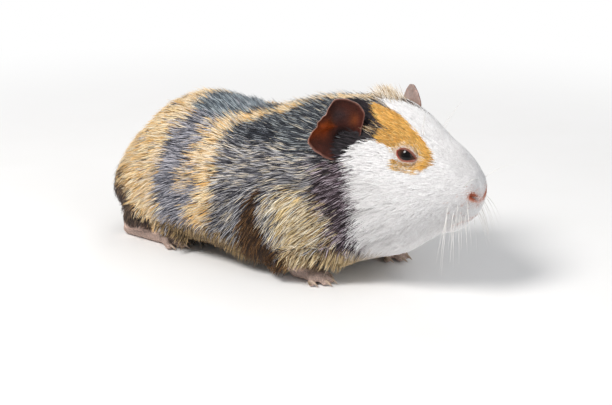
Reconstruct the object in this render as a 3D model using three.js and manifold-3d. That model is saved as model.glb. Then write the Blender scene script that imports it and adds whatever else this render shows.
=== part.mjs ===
// A guinea pig standing on its four feet, life size, modelled out to the tips of its coat.
//
// Millimetres. +X points to the nose, +Y to the animal's left, +Z up, and the floor is z = 0.
// The flesh is a set of rounded masses that melt into each other. It is a distance field, which
// is turned into a closed faceted skin, and thin cuts part that into head, neck, trunk and legs.
// At the end the group is moved so that the origin is the middle of the bounding box's lower face.

import * as THREE from "three";
import Module from "manifold-3d";
import { mergeVertices } from "three/addons/utils/BufferGeometryUtils.js";

const wasm = await Module();
wasm.setup();

// ---------------------------------------------------------------- driving dimensions

const CUT = 0.35;             // gap between neighbouring parts
const TRUNK_CELL = 10.4;      // facet size on the trunk and legs
const HEAD_CELL = 6.8;        // facet size on the head and neck
const FOOT_CELL = 2.6;        // facet size on the feet
const SPACE = { low: [-125, -66, -10], high: [155, 66, 115] };
const FRONT_FROM = 22;        // the finer skin of head and neck starts well behind the shoulder cut
const FAR = 400;              // size of the blocks that cut the body
const COAT_CLEARANCE = 2.2;   // height of the lowest hair of the belly above the floor
const RIGHT = -1;
const LEFT = 1;

// Masses of flesh and coat: centre, half sizes, and how many degrees the front end tips up.
const MIDDLE_MASSES = [
  { at: [-38, 0, 46.5], half: [42, 42, 42], tilt: -4 },     // rump
  { at: [-60, 0, 37], half: [34, 37, 33], tilt: 14 },       // croup
  { at: [-4, 0, 46], half: [54, 45, 38], tilt: 3 },         // barrel
  { at: [38, 0, 53], half: [41, 41, 42], tilt: 8 },         // ribs and withers
  { at: [58, 0, 32], half: [34, 34, 27], tilt: 8 },         // breast
];
const FLANK_MASSES = [
  { at: [-78, 9, 24], half: [23, 22, 20], tilt: 0 },        // seat
  { at: [-8, 20, 31], half: [50, 27, 25], tilt: 0 },        // flank
  { at: [36, 21, 28], half: [31, 21, 24], tilt: 3 },        // shoulder and elbow
  { at: [-56, 20, 31], half: [33, 26, 26], tilt: 12 },      // thigh
  { at: [-18, 29, 18], half: [36, 14, 13], tilt: 0 },       // hanging coat of the belly
  { at: [23, 31, 15], half: [25, 13, 13], tilt: 0 },        // hanging coat behind the elbow
  { at: [54, 20, 15], half: [24, 17, 12.5], tilt: 4 },      // hanging coat of the breast
];
const NECK_MASSES = [
  { at: [66, 0, 67], half: [36, 33, 33], tilt: 12 },        // nape
  { at: [86, 0, 40], half: [26, 26, 27], tilt: 20 },        // throat
];
const HEAD_MASSES = [
  { at: [87, 0, 78], half: [26, 23, 21.5], tilt: -10 },     // skull
  { at: [111, 0, 72.5], half: [26, 16, 14], tilt: -38 },    // forehead and bridge of the nose
  { at: [122, 0, 64], half: [15, 16, 14], tilt: -40 },      // muzzle
  { at: [131, 0, 57.5], half: [9.5, 12, 10.5], tilt: -30 }, // nose
  { at: [123, 0, 50], half: [13, 14, 12], tilt: -10 },      // upper lip
  { at: [117, 0, 43], half: [12, 11, 9], tilt: 0 },         // chin
];
const CHEEK_MASSES = [
  { at: [94, 13, 54], half: [28, 18, 27], tilt: -16 },      // jowl
  { at: [114, 10, 54], half: [15, 12.5, 13], tilt: -20 },   // whisker pad
];
const MELT = { trunk: 14, neck: 12, head: 8, paw: 2.5 };    // width over which masses melt together

// Cuts behind the cheeks and at the shoulders: a point on the cut, and how far its top leans back.
const NAPE_CUT = { x: 68, z: 60, lean: 22 };
const SHOULDER_CUT = { x: 51, z: 55, lean: 30 };

// The upper foreleg and the haunch are the flesh that lies within these ovals.
const FORELEG_OVAL = { at: [36, 42, 27], half: [21, 26, 33], tilt: -8 };
const HINDLEG_OVAL = { at: [-55, 42, 27], half: [33, 26, 34], tilt: 14 };

// Limbs under the coat, from the knee or elbow to the foot, with their radii.
const FOREARM = { from: [33, 30, 19], to: [50, 28, 8], radii: [10, 6.5] };
const SHANK = { from: [-66, 29, 18], to: [-72, 29, 8], radii: [9, 7.5] };

// Feet: the heel or wrist, the ball, toe tips, and how far each foot is set forward of its mirror.
const FOREFOOT = {
  heel: [50, 28, 5.4], ball: [59, 27.5, 3.6], radii: [5.2, 4.4], toeRadii: [2.5, 1.9], claw: 4.2,
  toes: [[65, 33, 2], [69.5, 29.5, 2], [69.5, 25.4, 2], [65, 21.8, 2]],
};
const HINDFOOT = {
  heel: [-80, 28, 5], ball: [-56, 30, 4], radii: [5.2, 5.4], toeRadii: [3, 2.2], claw: 5.4,
  toes: [[-44.5, 36, 2.3], [-40, 31, 2.3], [-44.5, 26, 2.3]],
};
const FOOT_ROOM = { radius: 9, z: 3 };
const STEP = { fore: { [RIGHT]: -6, [LEFT]: 6 }, hind: { [RIGHT]: 3, [LEFT]: -3 } };
const FOOT_MARGIN = 9;        // space searched round a foot
const CLAW = { radius: 1.05, sides: 5, rings: 2, rise: 0.55, dip: 10, bend: 0.9, seat: 1.1 };

const EYE = { x: 105.2, side: 15.6, z: 76.3, radius: 6, gap: 0.3, detail: 2 };

// Each ear is a cupped petal. Its face looks forward and outward and droops a little. Its outline
// falls in at the upper rear, and at the front, where it grows out of the head.
// The left ear is held a little further forward and lower than the right one.
const EAR = {
  x: 73, side: 31.5, z: 87.8, faceTurn: 55, faceRise: -6, radius: 16.8,
  dents: [{ depth: 6, at: 35, width: 42 }, { depth: 5, at: 195, width: 40 }],
  cup: 5.5, curl: 3, thickness: 2.4, rings: 3, sides: 24,
  held: { [RIGHT]: [0, 0, 0], [LEFT]: [4, 0, -3.3] },
};

const COLOURS = {
  white: "#e8e4e2", grey: "#66636a", tan: "#c79a5e", sooty: "#3d3236", pink: "#b98a80", ear: "#5e2b1a",
  eye: "#15100f", claw: "#b7a08c",
};

// ---------------------------------------------------------------- distance fields

const radians = THREE.MathUtils.degToRad;

function ellipsoid({ at, half, tilt }) {
  const [a, b, c] = half;
  const placed = new THREE.Matrix4().makeTranslation(...at);
  const inverse = placed.multiply(new THREE.Matrix4().makeRotationY(-radians(tilt))).invert();
  const q = new THREE.Vector3();
  return (p) => {
    q.copy(p).applyMatrix4(inverse);
    const near = Math.hypot(q.x / a, q.y / b, q.z / c);
    const steep = Math.hypot(q.x / (a * a), q.y / (b * b), q.z / (c * c));
    return steep < 1e-9 ? -Math.min(a, b, c) : (near * (near - 1)) / steep;
  };
}

// A straight limb that tapers from one round end to the other.
function taper({ from, to, radii }) {
  const start = new THREE.Vector3(...from);
  const along = new THREE.Vector3(...to).sub(start);
  const q = new THREE.Vector3();
  return (p) => {
    q.copy(p).sub(start);
    const t = THREE.MathUtils.clamp(q.dot(along) / along.lengthSq(), 0, 1);
    return q.addScaledVector(along, -t).length() - THREE.MathUtils.lerp(radii[0], radii[1], t);
  };
}

// Joins fields so that they melt into each other over the given width.
function melt(fields, width) {
  return (p) => {
    let joined = fields[0](p);
    for (const field of fields.slice(1)) {
      const next = field(p);
      const overlap = Math.max(width - Math.abs(joined - next), 0) / width;
      joined = Math.min(joined, next) - (overlap * overlap * width) / 4;
    }
    return joined;
  };
}

const onSide = ([x, y, z], side, step = 0) => [x + step, y * side, z];
const massOnSide = (mass, side) => ({ ...mass, at: onSide(mass.at, side) });
const pair = (masses) => masses.flatMap((mass) => [massOnSide(mass, LEFT), massOnSide(mass, RIGHT)]);

function limbOnSide(limb, side, step) {
  return { ...limb, from: onSide(limb.from, side), to: onSide(limb.to, side, step) };
}

const limbFields = [LEFT, RIGHT].flatMap((side) => [
  taper(limbOnSide(FOREARM, side, STEP.fore[side])),
  taper(limbOnSide(SHANK, side, STEP.hind[side])),
]);
const bodyField = melt([...MIDDLE_MASSES, ...pair(FLANK_MASSES)].map(ellipsoid), MELT.trunk);
const neckField = melt(NECK_MASSES.map(ellipsoid), MELT.neck);
const headField = melt([...HEAD_MASSES, ...pair(CHEEK_MASSES)].map(ellipsoid), MELT.head);
const headAndNeck = melt([neckField, headField], MELT.neck);
const wholeField = melt([melt([bodyField, headAndNeck], MELT.trunk), ...limbFields], MELT.paw);
const fleshField = (p) => Math.max(wholeField(p), COAT_CLEARANCE - p.z);

// ---------------------------------------------------------------- fields to closed solids

const CORNERS = Array.from({ length: 8 }, (_, n) => [n & 1, (n >> 1) & 1, n >> 2]);
const EDGES = CORNERS.flatMap((_, a) => [1, 2, 4].filter((bit) => !(a & bit)).map((bit) => [a, a | bit]));

// Surface nets: one vertex in each grid cell that the surface crosses, one quad for each crossed edge.
function skinOf(field, low, high, cell) {
  const count = low.map((value, axis) => Math.ceil((high[axis] - value) / cell) + 1);
  const stride = [1, count[0], count[0] * count[1]];
  const at = (i, j, k) => i + j * stride[1] + k * stride[2];
  const place = (i, j, k) => new THREE.Vector3(low[0] + i * cell, low[1] + j * cell, low[2] + k * cell);
  const values = new Float64Array(count[0] * count[1] * count[2]);
  visit([0, 0, 0], count, (i, j, k) => {
    values[at(i, j, k)] = field(place(i, j, k));
  });
  const vertices = [];
  const cellVertex = new Int32Array(values.length);
  visit([0, 0, 0], count.map((n) => n - 1), (i, j, k) => {
    const corner = CORNERS.map(([a, b, c]) => values[at(i + a, j + b, k + c)]);
    const crossed = EDGES.filter(([a, b]) => corner[a] < 0 !== corner[b] < 0);
    if (crossed.length === 0) return;
    const middle = new THREE.Vector3();
    for (const [a, b] of crossed) {
      const t = corner[a] / (corner[a] - corner[b]);
      middle.add(new THREE.Vector3(...CORNERS[a]).lerp(new THREE.Vector3(...CORNERS[b]), t));
    }
    const vertex = middle.multiplyScalar(cell / crossed.length).add(place(i, j, k));
    cellVertex[at(i, j, k)] = vertices.length / 3;
    vertices.push(...settle(field, vertex, cell));
  });
  const triangles = [];
  visit([1, 1, 1], count.map((n) => n - 1), (i, j, k) => {
    const here = at(i, j, k);
    for (let axis = 0; axis < 3; axis += 1) {
      const inside = values[here] < 0;
      if (inside === values[here + stride[axis]] < 0) continue;
      const u = stride[(axis + 1) % 3];
      const v = stride[(axis + 2) % 3];
      const quad = [here, here - u, here - u - v, here - v].map((n) => cellVertex[n]);
      if (!inside) quad.reverse();
      triangles.push(quad[0], quad[1], quad[2], quad[0], quad[2], quad[3]);
    }
  });
  return solidFrom(vertices, triangles);
}

function visit(low, high, action) {
  for (let k = low[2]; k < high[2]; k += 1) {
    for (let j = low[1]; j < high[1]; j += 1) {
      for (let i = low[0]; i < high[0]; i += 1) {
        action(i, j, k);
      }
    }
  }
}

// Moves a vertex down the field's slope onto the surface, by no more than half a cell.
function settle(field, vertex, cell) {
  const start = vertex.clone();
  const reach = cell * 0.05;
  const slopeAlong = (axis) => {
    const step = new THREE.Vector3().setComponent(axis, reach);
    return (field(vertex.clone().add(step)) - field(vertex.clone().sub(step))) / (2 * reach);
  };
  for (let round = 0; round < 3; round += 1) {
    const slope = new THREE.Vector3(slopeAlong(0), slopeAlong(1), slopeAlong(2));
    vertex.addScaledVector(slope, -field(vertex) / Math.max(slope.lengthSq(), 0.25));
  }
  return vertex.sub(start).clampLength(0, cell / 2).add(start).toArray();
}

function solidFrom(vertices, triangles) {
  const mesh = new wasm.Mesh({
    numProp: 3,
    vertProperties: new Float32Array(vertices),
    triVerts: new Uint32Array(triangles),
  });
  return new wasm.Manifold(mesh);
}

function solidFromGeometry(geometry) {
  const bare = geometry.clone();
  bare.deleteAttribute("normal");
  bare.deleteAttribute("uv");
  const merged = mergeVertices(bare, 1e-4);
  return solidFrom(merged.attributes.position.array, merged.index.array);
}

// Everything in front of a plane that crosses the body, whose top leans back by some degrees.
function inFrontOf({ x, z, lean }, forward = 0) {
  const block = new THREE.BoxGeometry(FAR, FAR, FAR).translate(FAR / 2 + forward, 0, 0);
  return solidFromGeometry(block.rotateY(-radians(lean)).translate(x, 0, z));
}

function aboveFloor() {
  return solidFromGeometry(new THREE.BoxGeometry(FAR, FAR, FAR).translate(0, 0, FAR / 2));
}

function ovalSolid(oval, grow = 0) {
  const { at, half, tilt } = oval;
  const ball = new THREE.IcosahedronGeometry(1, 2).scale(...half.map((size) => size + grow));
  return solidFromGeometry(ball.rotateY(-radians(tilt)).translate(...at));
}

// ---------------------------------------------------------------- feet and claws

function footSolid(foot, side, step, grow = 0) {
  const place = (point) => onSide(point, side, step);
  const from = place(foot.ball);
  const sole = taper({ from: place(foot.heel), to: from, radii: foot.radii });
  const toes = foot.toes.map((tip) => taper({ from, to: place(tip), radii: foot.toeRadii }));
  const field = melt([sole, ...toes], MELT.paw);
  const points = [foot.heel, foot.ball, ...foot.toes].map((point) => new THREE.Vector3(...place(point)));
  const box = new THREE.Box3().setFromPoints(points).expandByScalar(FOOT_MARGIN);
  return skinOf((p) => field(p) - grow, box.min.toArray(), box.max.toArray(), FOOT_CELL);
}

// The coat leaves room for each foot, wide enough at the front for the spread toes.
function footRoomSolid(foot, side, step) {
  const heel = new THREE.Vector3(...onSide(foot.heel, side, step));
  const front = new THREE.Vector3(...onSide(foot.toes[1], side, step));
  const room = new THREE.CapsuleGeometry(FOOT_ROOM.radius, front.x - heel.x, 3, 10).rotateZ(Math.PI / 2);
  room.rotateZ(Math.atan2(front.y - heel.y, front.x - heel.x));
  return solidFromGeometry(room.translate((heel.x + front.x) / 2, (heel.y + front.y) / 2, FOOT_ROOM.z));
}

// A claw is a cone that points on along its toe and bends down towards its tip.
function clawSolid(foot, toe, side, step) {
  const tip = new THREE.Vector3(...onSide(toe, side, step));
  const ball = new THREE.Vector3(...onSide(foot.ball, side, step));
  const heading = Math.atan2(tip.y - ball.y, tip.x - ball.x);
  const cone = new THREE.ConeGeometry(CLAW.radius, foot.claw, CLAW.sides, CLAW.rings);
  cone.translate(0, foot.claw / 2, 0).rotateZ(-Math.PI / 2);
  const position = cone.attributes.position;
  for (let n = 0; n < position.count; n += 1) {
    const along = position.getX(n) / foot.claw;
    position.setZ(n, position.getZ(n) - along * along * CLAW.bend);
  }
  cone.rotateY(radians(CLAW.dip)).translate(CLAW.seat, 0, CLAW.rise).rotateZ(heading);
  return solidFromGeometry(cone.translate(tip.x, tip.y, tip.z));
}

// ---------------------------------------------------------------- ears and eyes

// How far the ear's outline falls inside its round at an angle from the outward direction.
function earDent(angle) {
  return EAR.dents.reduce((total, { depth, at, width }) => {
    const turned = THREE.MathUtils.euclideanModulo(angle - radians(at) + Math.PI, 2 * Math.PI) - Math.PI;
    return total + depth * Math.exp(-((turned / radians(width)) ** 4));
  }, 0);
}

// A disc of rings with a dented outline, cupped towards the front and lens-shaped in section.
function earSolid(side) {
  const face = new THREE.Vector3(
    Math.cos(radians(EAR.faceTurn)) * Math.cos(radians(EAR.faceRise)),
    side * Math.sin(radians(EAR.faceTurn)) * Math.cos(radians(EAR.faceRise)),
    Math.sin(radians(EAR.faceRise)),
  );
  const outward = new THREE.Vector3(-face.y * side, face.x * side, 0).normalize();
  const upward = new THREE.Vector3().crossVectors(face, outward).multiplyScalar(side);
  const centre = new THREE.Vector3(...onSide([EAR.x, EAR.side, EAR.z], side));
  centre.add(new THREE.Vector3(...EAR.held[side]));
  const place = (ring, spoke, back) => {
    const share = ring / EAR.rings;
    const angle = (spoke / EAR.sides) * 2 * Math.PI;
    const radius = share * (EAR.radius - earDent(angle));
    const cup = EAR.cup * (share * share - 1) - EAR.curl * share ** 3 * Math.max(Math.sin(angle), 0);
    const thick = EAR.thickness * (1 - 0.5 * share * share);
    return centre.clone()
      .addScaledVector(outward, radius * Math.cos(angle))
      .addScaledVector(upward, radius * Math.sin(angle))
      .addScaledVector(face, cup - (back ? thick : 0));
  };
  const points = [];
  for (const back of [false, true]) {
    points.push(place(0, 0, back));
    for (let ring = 1; ring <= EAR.rings; ring += 1) {
      for (let spoke = 0; spoke < EAR.sides; spoke += 1) points.push(place(ring, spoke, back));
    }
  }
  const sheet = 1 + EAR.rings * EAR.sides;
  const index = (ring, spoke, back) => (back ? sheet : 0)
    + (ring === 0 ? 0 : 1 + (ring - 1) * EAR.sides + (spoke % EAR.sides));
  const triangles = [];
  const add = (a, b, c, flip) => triangles.push(...(flip ? [a, c, b] : [a, b, c]));
  const handed = side === RIGHT;
  for (let spoke = 0; spoke < EAR.sides; spoke += 1) {
    for (const back of [false, true]) {
      const flip = back !== handed;
      add(index(0, 0, back), index(1, spoke, back), index(1, spoke + 1, back), flip);
      for (let ring = 1; ring < EAR.rings; ring += 1) {
        add(index(ring, spoke, back), index(ring + 1, spoke, back), index(ring + 1, spoke + 1, back), flip);
        add(index(ring, spoke, back), index(ring + 1, spoke + 1, back), index(ring, spoke + 1, back), flip);
      }
    }
    const [front, next] = [index(EAR.rings, spoke, false), index(EAR.rings, spoke + 1, false)];
    const [behind, nextBehind] = [index(EAR.rings, spoke, true), index(EAR.rings, spoke + 1, true)];
    add(front, behind, nextBehind, handed);
    add(front, nextBehind, next, handed);
  }
  return solidFrom(points.flatMap((point) => point.toArray()), triangles);
}

function eyeSolid(side, grow = 0) {
  const ball = new THREE.IcosahedronGeometry(EYE.radius + grow, EYE.detail);
  return solidFromGeometry(ball.translate(...onSide([EYE.x, EYE.side, EYE.z], side)));
}

// ---------------------------------------------------------------- the parts

const frontField = (p) => Math.max(fleshField(p), FRONT_FROM - p.x);
const frontLow = [FRONT_FROM - HEAD_CELL - 1.2, SPACE.low[1], SPACE.low[2]];
const coarse = skinOf(fleshField, SPACE.low, SPACE.high, TRUNK_CELL);
const fine = skinOf(frontField, frontLow, SPACE.high, HEAD_CELL);
const headRoom = skinOf((p) => frontField(p) - CUT, frontLow, SPACE.high, HEAD_CELL);
const behindShoulder = coarse.subtract(inFrontOf(SHOULDER_CUT, -CUT / 2));
const floorSpace = aboveFloor();

const parts = {};
parts.head = fine.intersect(inFrontOf(NAPE_CUT, CUT / 2));
parts.neck = fine.subtract(inFrontOf(NAPE_CUT, -CUT / 2)).intersect(inFrontOf(SHOULDER_CUT, CUT / 2));
parts.trunk = behindShoulder;

for (const [side, hand] of [[RIGHT, "right"], [LEFT, "left"]]) {
  const legs = [
    ["fore", FORELEG_OVAL, FOREFOOT, STEP.fore[side]],
    ["hind", HINDLEG_OVAL, HINDFOOT, STEP.hind[side]],
  ];
  for (const [end, oval, foot, step] of legs) {
    const region = massOnSide(oval, side);
    const footRoom = footRoomSolid(foot, side, step);
    const clawRoom = footSolid(foot, side, step, CUT);
    parts[`${end}leg_${hand}`] = behindShoulder.intersect(ovalSolid(region)).subtract(footRoom);
    parts.trunk = parts.trunk.subtract(ovalSolid(region, CUT)).subtract(footRoom);
    parts.neck = parts.neck.subtract(footRoom);
    parts[`${end}foot_${hand}`] = footSolid(foot, side, step).intersect(floorSpace);
    foot.toes.forEach((toe, n) => {
      parts[`${end}foot_${hand}_claw_${n + 1}`] = clawSolid(foot, toe, side, step).subtract(clawRoom);
    });
  }
  parts[`ear_${hand}`] = earSolid(side).subtract(headRoom);
  parts[`eye_${hand}`] = eyeSolid(side);
  parts.head = parts.head.subtract(eyeSolid(side, EYE.gap));
}

// ---------------------------------------------------------------- the group

function geometryOf(solid) {
  const mesh = solid.getMesh();
  const geometry = new THREE.BufferGeometry();
  geometry.setAttribute("position", new THREE.BufferAttribute(mesh.vertProperties, 3));
  geometry.setIndex(new THREE.BufferAttribute(mesh.triVerts, 1));
  return geometry;
}

function colourOf(name) {
  if (name.includes("claw")) return COLOURS.claw;
  if (name.startsWith("eye")) return COLOURS.eye;
  if (name.startsWith("ear")) return COLOURS.ear;
  if (name.includes("foot")) return COLOURS.pink;
  return { head: COLOURS.white, neck: COLOURS.sooty, trunk: COLOURS.grey }[name] ?? COLOURS.tan;
}

const animal = new THREE.Group();
for (const [name, solid] of Object.entries(parts)) {
  const roughness = name.startsWith("eye") ? 0.1 : 0.85;
  const material = new THREE.MeshStandardMaterial({ color: colourOf(name), roughness, metalness: 0 });
  const part = new THREE.Mesh(geometryOf(solid), material);
  part.name = name;
  animal.add(part);
}

const bounds = new THREE.Box3().setFromObject(animal);
animal.position.set(-(bounds.min.x + bounds.max.x) / 2, -(bounds.min.y + bounds.max.y) / 2, -bounds.min.z);

export default animal;
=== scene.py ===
import bmesh
import bpy
import numpy as np
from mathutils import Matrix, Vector
from mathutils.bvhtree import BVHTree
from mathutils.kdtree import KDTree


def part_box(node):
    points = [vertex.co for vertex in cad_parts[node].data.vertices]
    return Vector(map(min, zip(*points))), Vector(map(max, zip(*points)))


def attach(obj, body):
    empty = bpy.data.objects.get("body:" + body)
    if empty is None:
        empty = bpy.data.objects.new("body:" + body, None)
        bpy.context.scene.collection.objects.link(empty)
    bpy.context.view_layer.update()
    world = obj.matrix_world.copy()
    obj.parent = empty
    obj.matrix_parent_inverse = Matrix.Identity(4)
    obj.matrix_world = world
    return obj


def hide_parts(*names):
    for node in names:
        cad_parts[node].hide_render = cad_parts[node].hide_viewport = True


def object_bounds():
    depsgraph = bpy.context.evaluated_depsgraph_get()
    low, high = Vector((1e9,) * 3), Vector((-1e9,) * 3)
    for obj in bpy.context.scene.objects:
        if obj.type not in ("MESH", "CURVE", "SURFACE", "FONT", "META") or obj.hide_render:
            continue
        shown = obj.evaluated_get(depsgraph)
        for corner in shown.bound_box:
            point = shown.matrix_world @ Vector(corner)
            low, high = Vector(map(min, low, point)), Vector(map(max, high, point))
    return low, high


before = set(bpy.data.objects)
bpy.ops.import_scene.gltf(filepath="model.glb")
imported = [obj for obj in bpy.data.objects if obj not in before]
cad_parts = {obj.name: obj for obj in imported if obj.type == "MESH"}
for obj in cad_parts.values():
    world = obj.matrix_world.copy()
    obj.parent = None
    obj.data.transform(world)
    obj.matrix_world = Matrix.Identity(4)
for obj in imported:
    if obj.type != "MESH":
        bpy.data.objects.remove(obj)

# A guinea pig as a life-size still model. All sizes below are in millimetres, in the packed
# part's own frame: +X to the nose, +Y to the animal's left, +Z up, floor at z = 0.
cad_low, cad_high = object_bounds()
MM = 0.001
RIGHT, LEFT = -1, 1
HAND = {RIGHT: "right", LEFT: "left"}


# ------------------------------------------------------------------ the skin
# The living animal has one skin from nose to feet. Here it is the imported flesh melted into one
# closed surface, drawn in from the tips of the coat by the coat's depth, with the small forms of
# the face sculpted on: nostrils, cleft lip, mouth and the hollows that hold the eyes.
FLESH = ["head", "neck", "trunk"]
FLESH += [f"{limb}leg_{hand}" for limb in ("fore", "hind") for hand in ("right", "left")]
FEET = [f"{limb}foot_{hand}" for limb in ("fore", "hind") for hand in ("right", "left")]
BODY_VOXEL, SKIN_VOXEL = 1.5, 1.25
OVERLAP = 0.5           # how far the flesh nodes swell so that their thin cuts close
# the coat's depth at each x, on the back and on the underside
DEPTH_ABOVE = [(-122, 5.5), (-100, 7.5), (-60, 8.5), (10, 8.5), (32, 7.5), (50, 5.2), (66, 3.0),
               (84, 1.7), (104, 1.1), (115, 0.7), (119, 0.35), (123, 0.2)]
DEPTH_BELOW = [(-122, 5.0), (-100, 6.5), (-60, 7.5), (10, 8.0), (45, 8.0), (62, 6.5), (80, 4.4),
               (96, 2.6), (108, 1.4), (115, 0.8), (119, 0.4), (123, 0.2)]
BODY_ROUNDS, SHRUNK_ROUNDS, SKIN_ROUNDS, FACE_ROUNDS = 60, 6, 8, 4      # of smoothing, in that order
MUZZLE_FROM, NOSE_FROM, EYE_REACH = 108, 113, 11    # where the skin gets its finer faces


def box_mm(node):
    low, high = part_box(node)
    return np.array(low) / MM, np.array(high) / MM


EYES = {side: sum(box_mm(f"eye_{HAND[side]}")) / 2 for side in (RIGHT, LEFT)}
GAZE = (0.40, 0.87, 0.27)   # the way an eye looks, on the left side
BALL_RADIUS = 6.1


def smooth_step(value, start, end):
    share = np.clip((value - start) / (end - start), 0, 1)
    return share * share * (3 - 2 * share)


def hump(distance, width):
    return np.exp(-(distance / width) ** 2)


def curve(bends, value):
    """The height at value of a line through the given bends."""
    return np.interp(value, *zip(*bends))


def mixed(first, second, share):
    return first + (second - first) * share


def unit(vectors):
    return vectors / np.maximum(np.linalg.norm(vectors, axis=-1), 1e-9)[..., None]


def distance_from(points, place):
    return np.linalg.norm(points - place, axis=1)


def coat_depth(points):
    """How far the tips of the coat stand off the skin."""
    x, z = points[:, 0], points[:, 2]
    depth = mixed(curve(DEPTH_BELOW, x), curve(DEPTH_ABOVE, x), smooth_step(z, 52, 74))
    for eye in EYES.values():
        depth *= 0.45 + 0.55 * smooth_step(distance_from(points, eye), 7, 15)
    return depth


def normals_of(points, faces):
    first, second, third, last = (points[faces[:, n]] for n in (0, 1, 2, -1))
    across = np.cross(third - first, last - second)
    total = np.zeros_like(points)
    for column in faces.T:
        for axis in range(3):
            total[:, axis] += np.bincount(column, across[:, axis], len(points))
    return unit(total)


def relaxed(points, faces, rounds, amount=1.0):
    """Smooths a closed surface without shrinking it, by pairs of steps in and out."""
    start = faces.ravel()
    end = np.roll(faces, -1, axis=1).ravel()
    count = np.bincount(start, minlength=len(points)) + np.bincount(end, minlength=len(points))
    for _ in range(rounds):
        for step in (0.5, -0.52):
            total = np.empty_like(points)
            for axis in range(3):
                total[:, axis] = np.bincount(start, points[end, axis], len(points))
                total[:, axis] += np.bincount(end, points[start, axis], len(points))
            points = points + step * amount * (total / count[:, None] - points)
    return points


def facing_out(points, faces):
    """The faces of a closed shape, turned over if they look inwards."""
    rays = points[faces] - points.mean(axis=0)
    volume = sum((rays[:, 0] * np.cross(rays[:, n], rays[:, n + 1])).sum()
                 for n in range(1, faces.shape[1] - 1))
    return faces if volume > 0 else faces[:, ::-1]


def mesh_object(name, points, faces):
    """A smooth-shaded object in the row frame from points in millimetres and faces of one size."""
    points = np.asarray(points, float)
    faces = facing_out(points, np.asarray(faces))
    mesh = bpy.data.meshes.new(name)
    mesh.vertices.add(len(points))
    mesh.vertices.foreach_set("co", (points * MM).astype(np.float32).ravel())
    mesh.loops.add(faces.size)
    mesh.loops.foreach_set("vertex_index", faces.astype(np.int32).ravel())
    mesh.polygons.add(len(faces))
    mesh.polygons.foreach_set("loop_start", np.arange(len(faces), dtype=np.int32) * faces.shape[1])
    mesh.update(calc_edges=True)
    mesh.shade_smooth()
    made = bpy.data.objects.new(name, mesh)
    bpy.context.scene.collection.objects.link(made)
    return made


def arrays_of(mesh, corners):
    points = np.empty(len(mesh.vertices) * 3)
    mesh.vertices.foreach_get("co", points)
    loops = np.empty(len(mesh.loops), np.int32)
    mesh.loops.foreach_get("vertex_index", loops)
    return points.reshape(-1, 3) / MM, loops.reshape(-1, corners)


def reworked(mesh, change):
    """Points and triangles of a mesh after change(shape) has worked on a copy of it."""
    shape = bmesh.new()
    shape.from_mesh(mesh)
    shape.faces.ensure_lookup_table()
    change(shape)
    bmesh.ops.triangulate(shape, faces=shape.faces)
    result = bpy.data.meshes.new("reworked")
    shape.to_mesh(result)
    shape.free()
    points, triangles = arrays_of(result, 3)
    bpy.data.meshes.remove(result)
    return points, triangles


def flesh_arrays(node):
    """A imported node's merged points and triangles, swollen a little along its normals."""
    points, triangles = reworked(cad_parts[node].data, lambda shape: bmesh.ops.remove_doubles(
        shape, verts=shape.verts, dist=1e-6))
    return points + normals_of(points, triangles) * OVERLAP, triangles


def joined(shapes):
    """Several (points, faces) as one."""
    offsets = np.cumsum([0] + [len(points) for points, _ in shapes])
    points = np.vstack([points for points, _ in shapes])
    return points, np.vstack([faces + offset for (_, faces), offset in zip(shapes, offsets)])


def split(quads):
    """Two triangles for each quad."""
    return np.vstack([quads[:, :3], quads[:, [0, 2, 3]]])


def grid_faces(rows, columns):
    """Quads between rings of points laid row by row."""
    row, column = np.meshgrid(np.arange(rows - 1), np.arange(columns), indexing="ij")
    after = (column + 1) % columns
    return np.stack([row * columns + column, row * columns + after,
                     (row + 1) * columns + after, (row + 1) * columns + column], axis=-1).reshape(-1, 4)


def spindle_faces(rows, columns):
    """Triangles between rings of points, closed by the two end points that follow the rings."""
    around = np.arange(columns)
    after = (around + 1) % columns
    final = (rows - 1) * columns
    ends = [np.full(columns, rows * columns), np.full(columns, rows * columns + 1)]
    return np.vstack([split(grid_faces(rows, columns)),
                      np.stack([after, around, ends[0]], axis=1),
                      np.stack([around + final, after + final, ends[1]], axis=1)])


def circle(first, second, sides):
    """Points of the circle of radius 1 in the plane of two unit vectors."""
    turn = np.linspace(0, 2 * np.pi, sides, endpoint=False)
    return np.outer(np.cos(turn), first) + np.outer(np.sin(turn), second)


def square_to(along, aside=(0.0, 0.0, 1.0)):
    """Two unit vectors square to a third one and to each other."""
    across = unit(np.cross(along, aside))
    return across, np.cross(across, along)


def melted(shapes, voxel):
    """One closed skin round overlapping closed shapes: only the largest surface is kept."""
    source = mesh_object("flesh", *joined(shapes))
    remesh = source.modifiers.new("one skin", "REMESH")
    remesh.mode = "VOXEL"
    remesh.voxel_size = voxel * MM
    evaluated = source.evaluated_get(bpy.context.evaluated_depsgraph_get())
    points, quads = arrays_of(evaluated.to_mesh(), 4)
    evaluated.to_mesh_clear()
    bpy.data.objects.remove(source)
    label = np.arange(len(points))
    while True:
        lowest = label[quads].min(axis=1)
        before = label.copy()
        for column in quads.T:
            np.minimum.at(label, column, lowest)
        label = label[label]
        if (label == before).all():
            break
    largest = np.bincount(label).argmax()
    kept = label == largest
    renumbered = np.cumsum(kept) - 1
    return points[kept], renumbered[quads[kept[quads[:, 0]]]]


def limb(start, end, start_radius, end_radius, rings=8, sides=14):
    """A closed round-ended limb that tapers from start to end."""
    start, end = np.array(start, float), np.array(end, float)
    along = unit(end - start)
    ring = circle(*square_to(along), sides)
    bend = np.linspace(0, np.pi / 2, rings + 1)[1:]
    points = [start + start_radius * (ring * np.sin(angle) - along * np.cos(angle)) for angle in bend]
    points += [end + end_radius * (ring * np.sin(angle) + along * np.cos(angle)) for angle in bend[::-1]]
    tips = [start - along * start_radius, end + along * end_radius]
    return np.vstack(points + tips), spindle_faces(2 * rings, sides)


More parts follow.
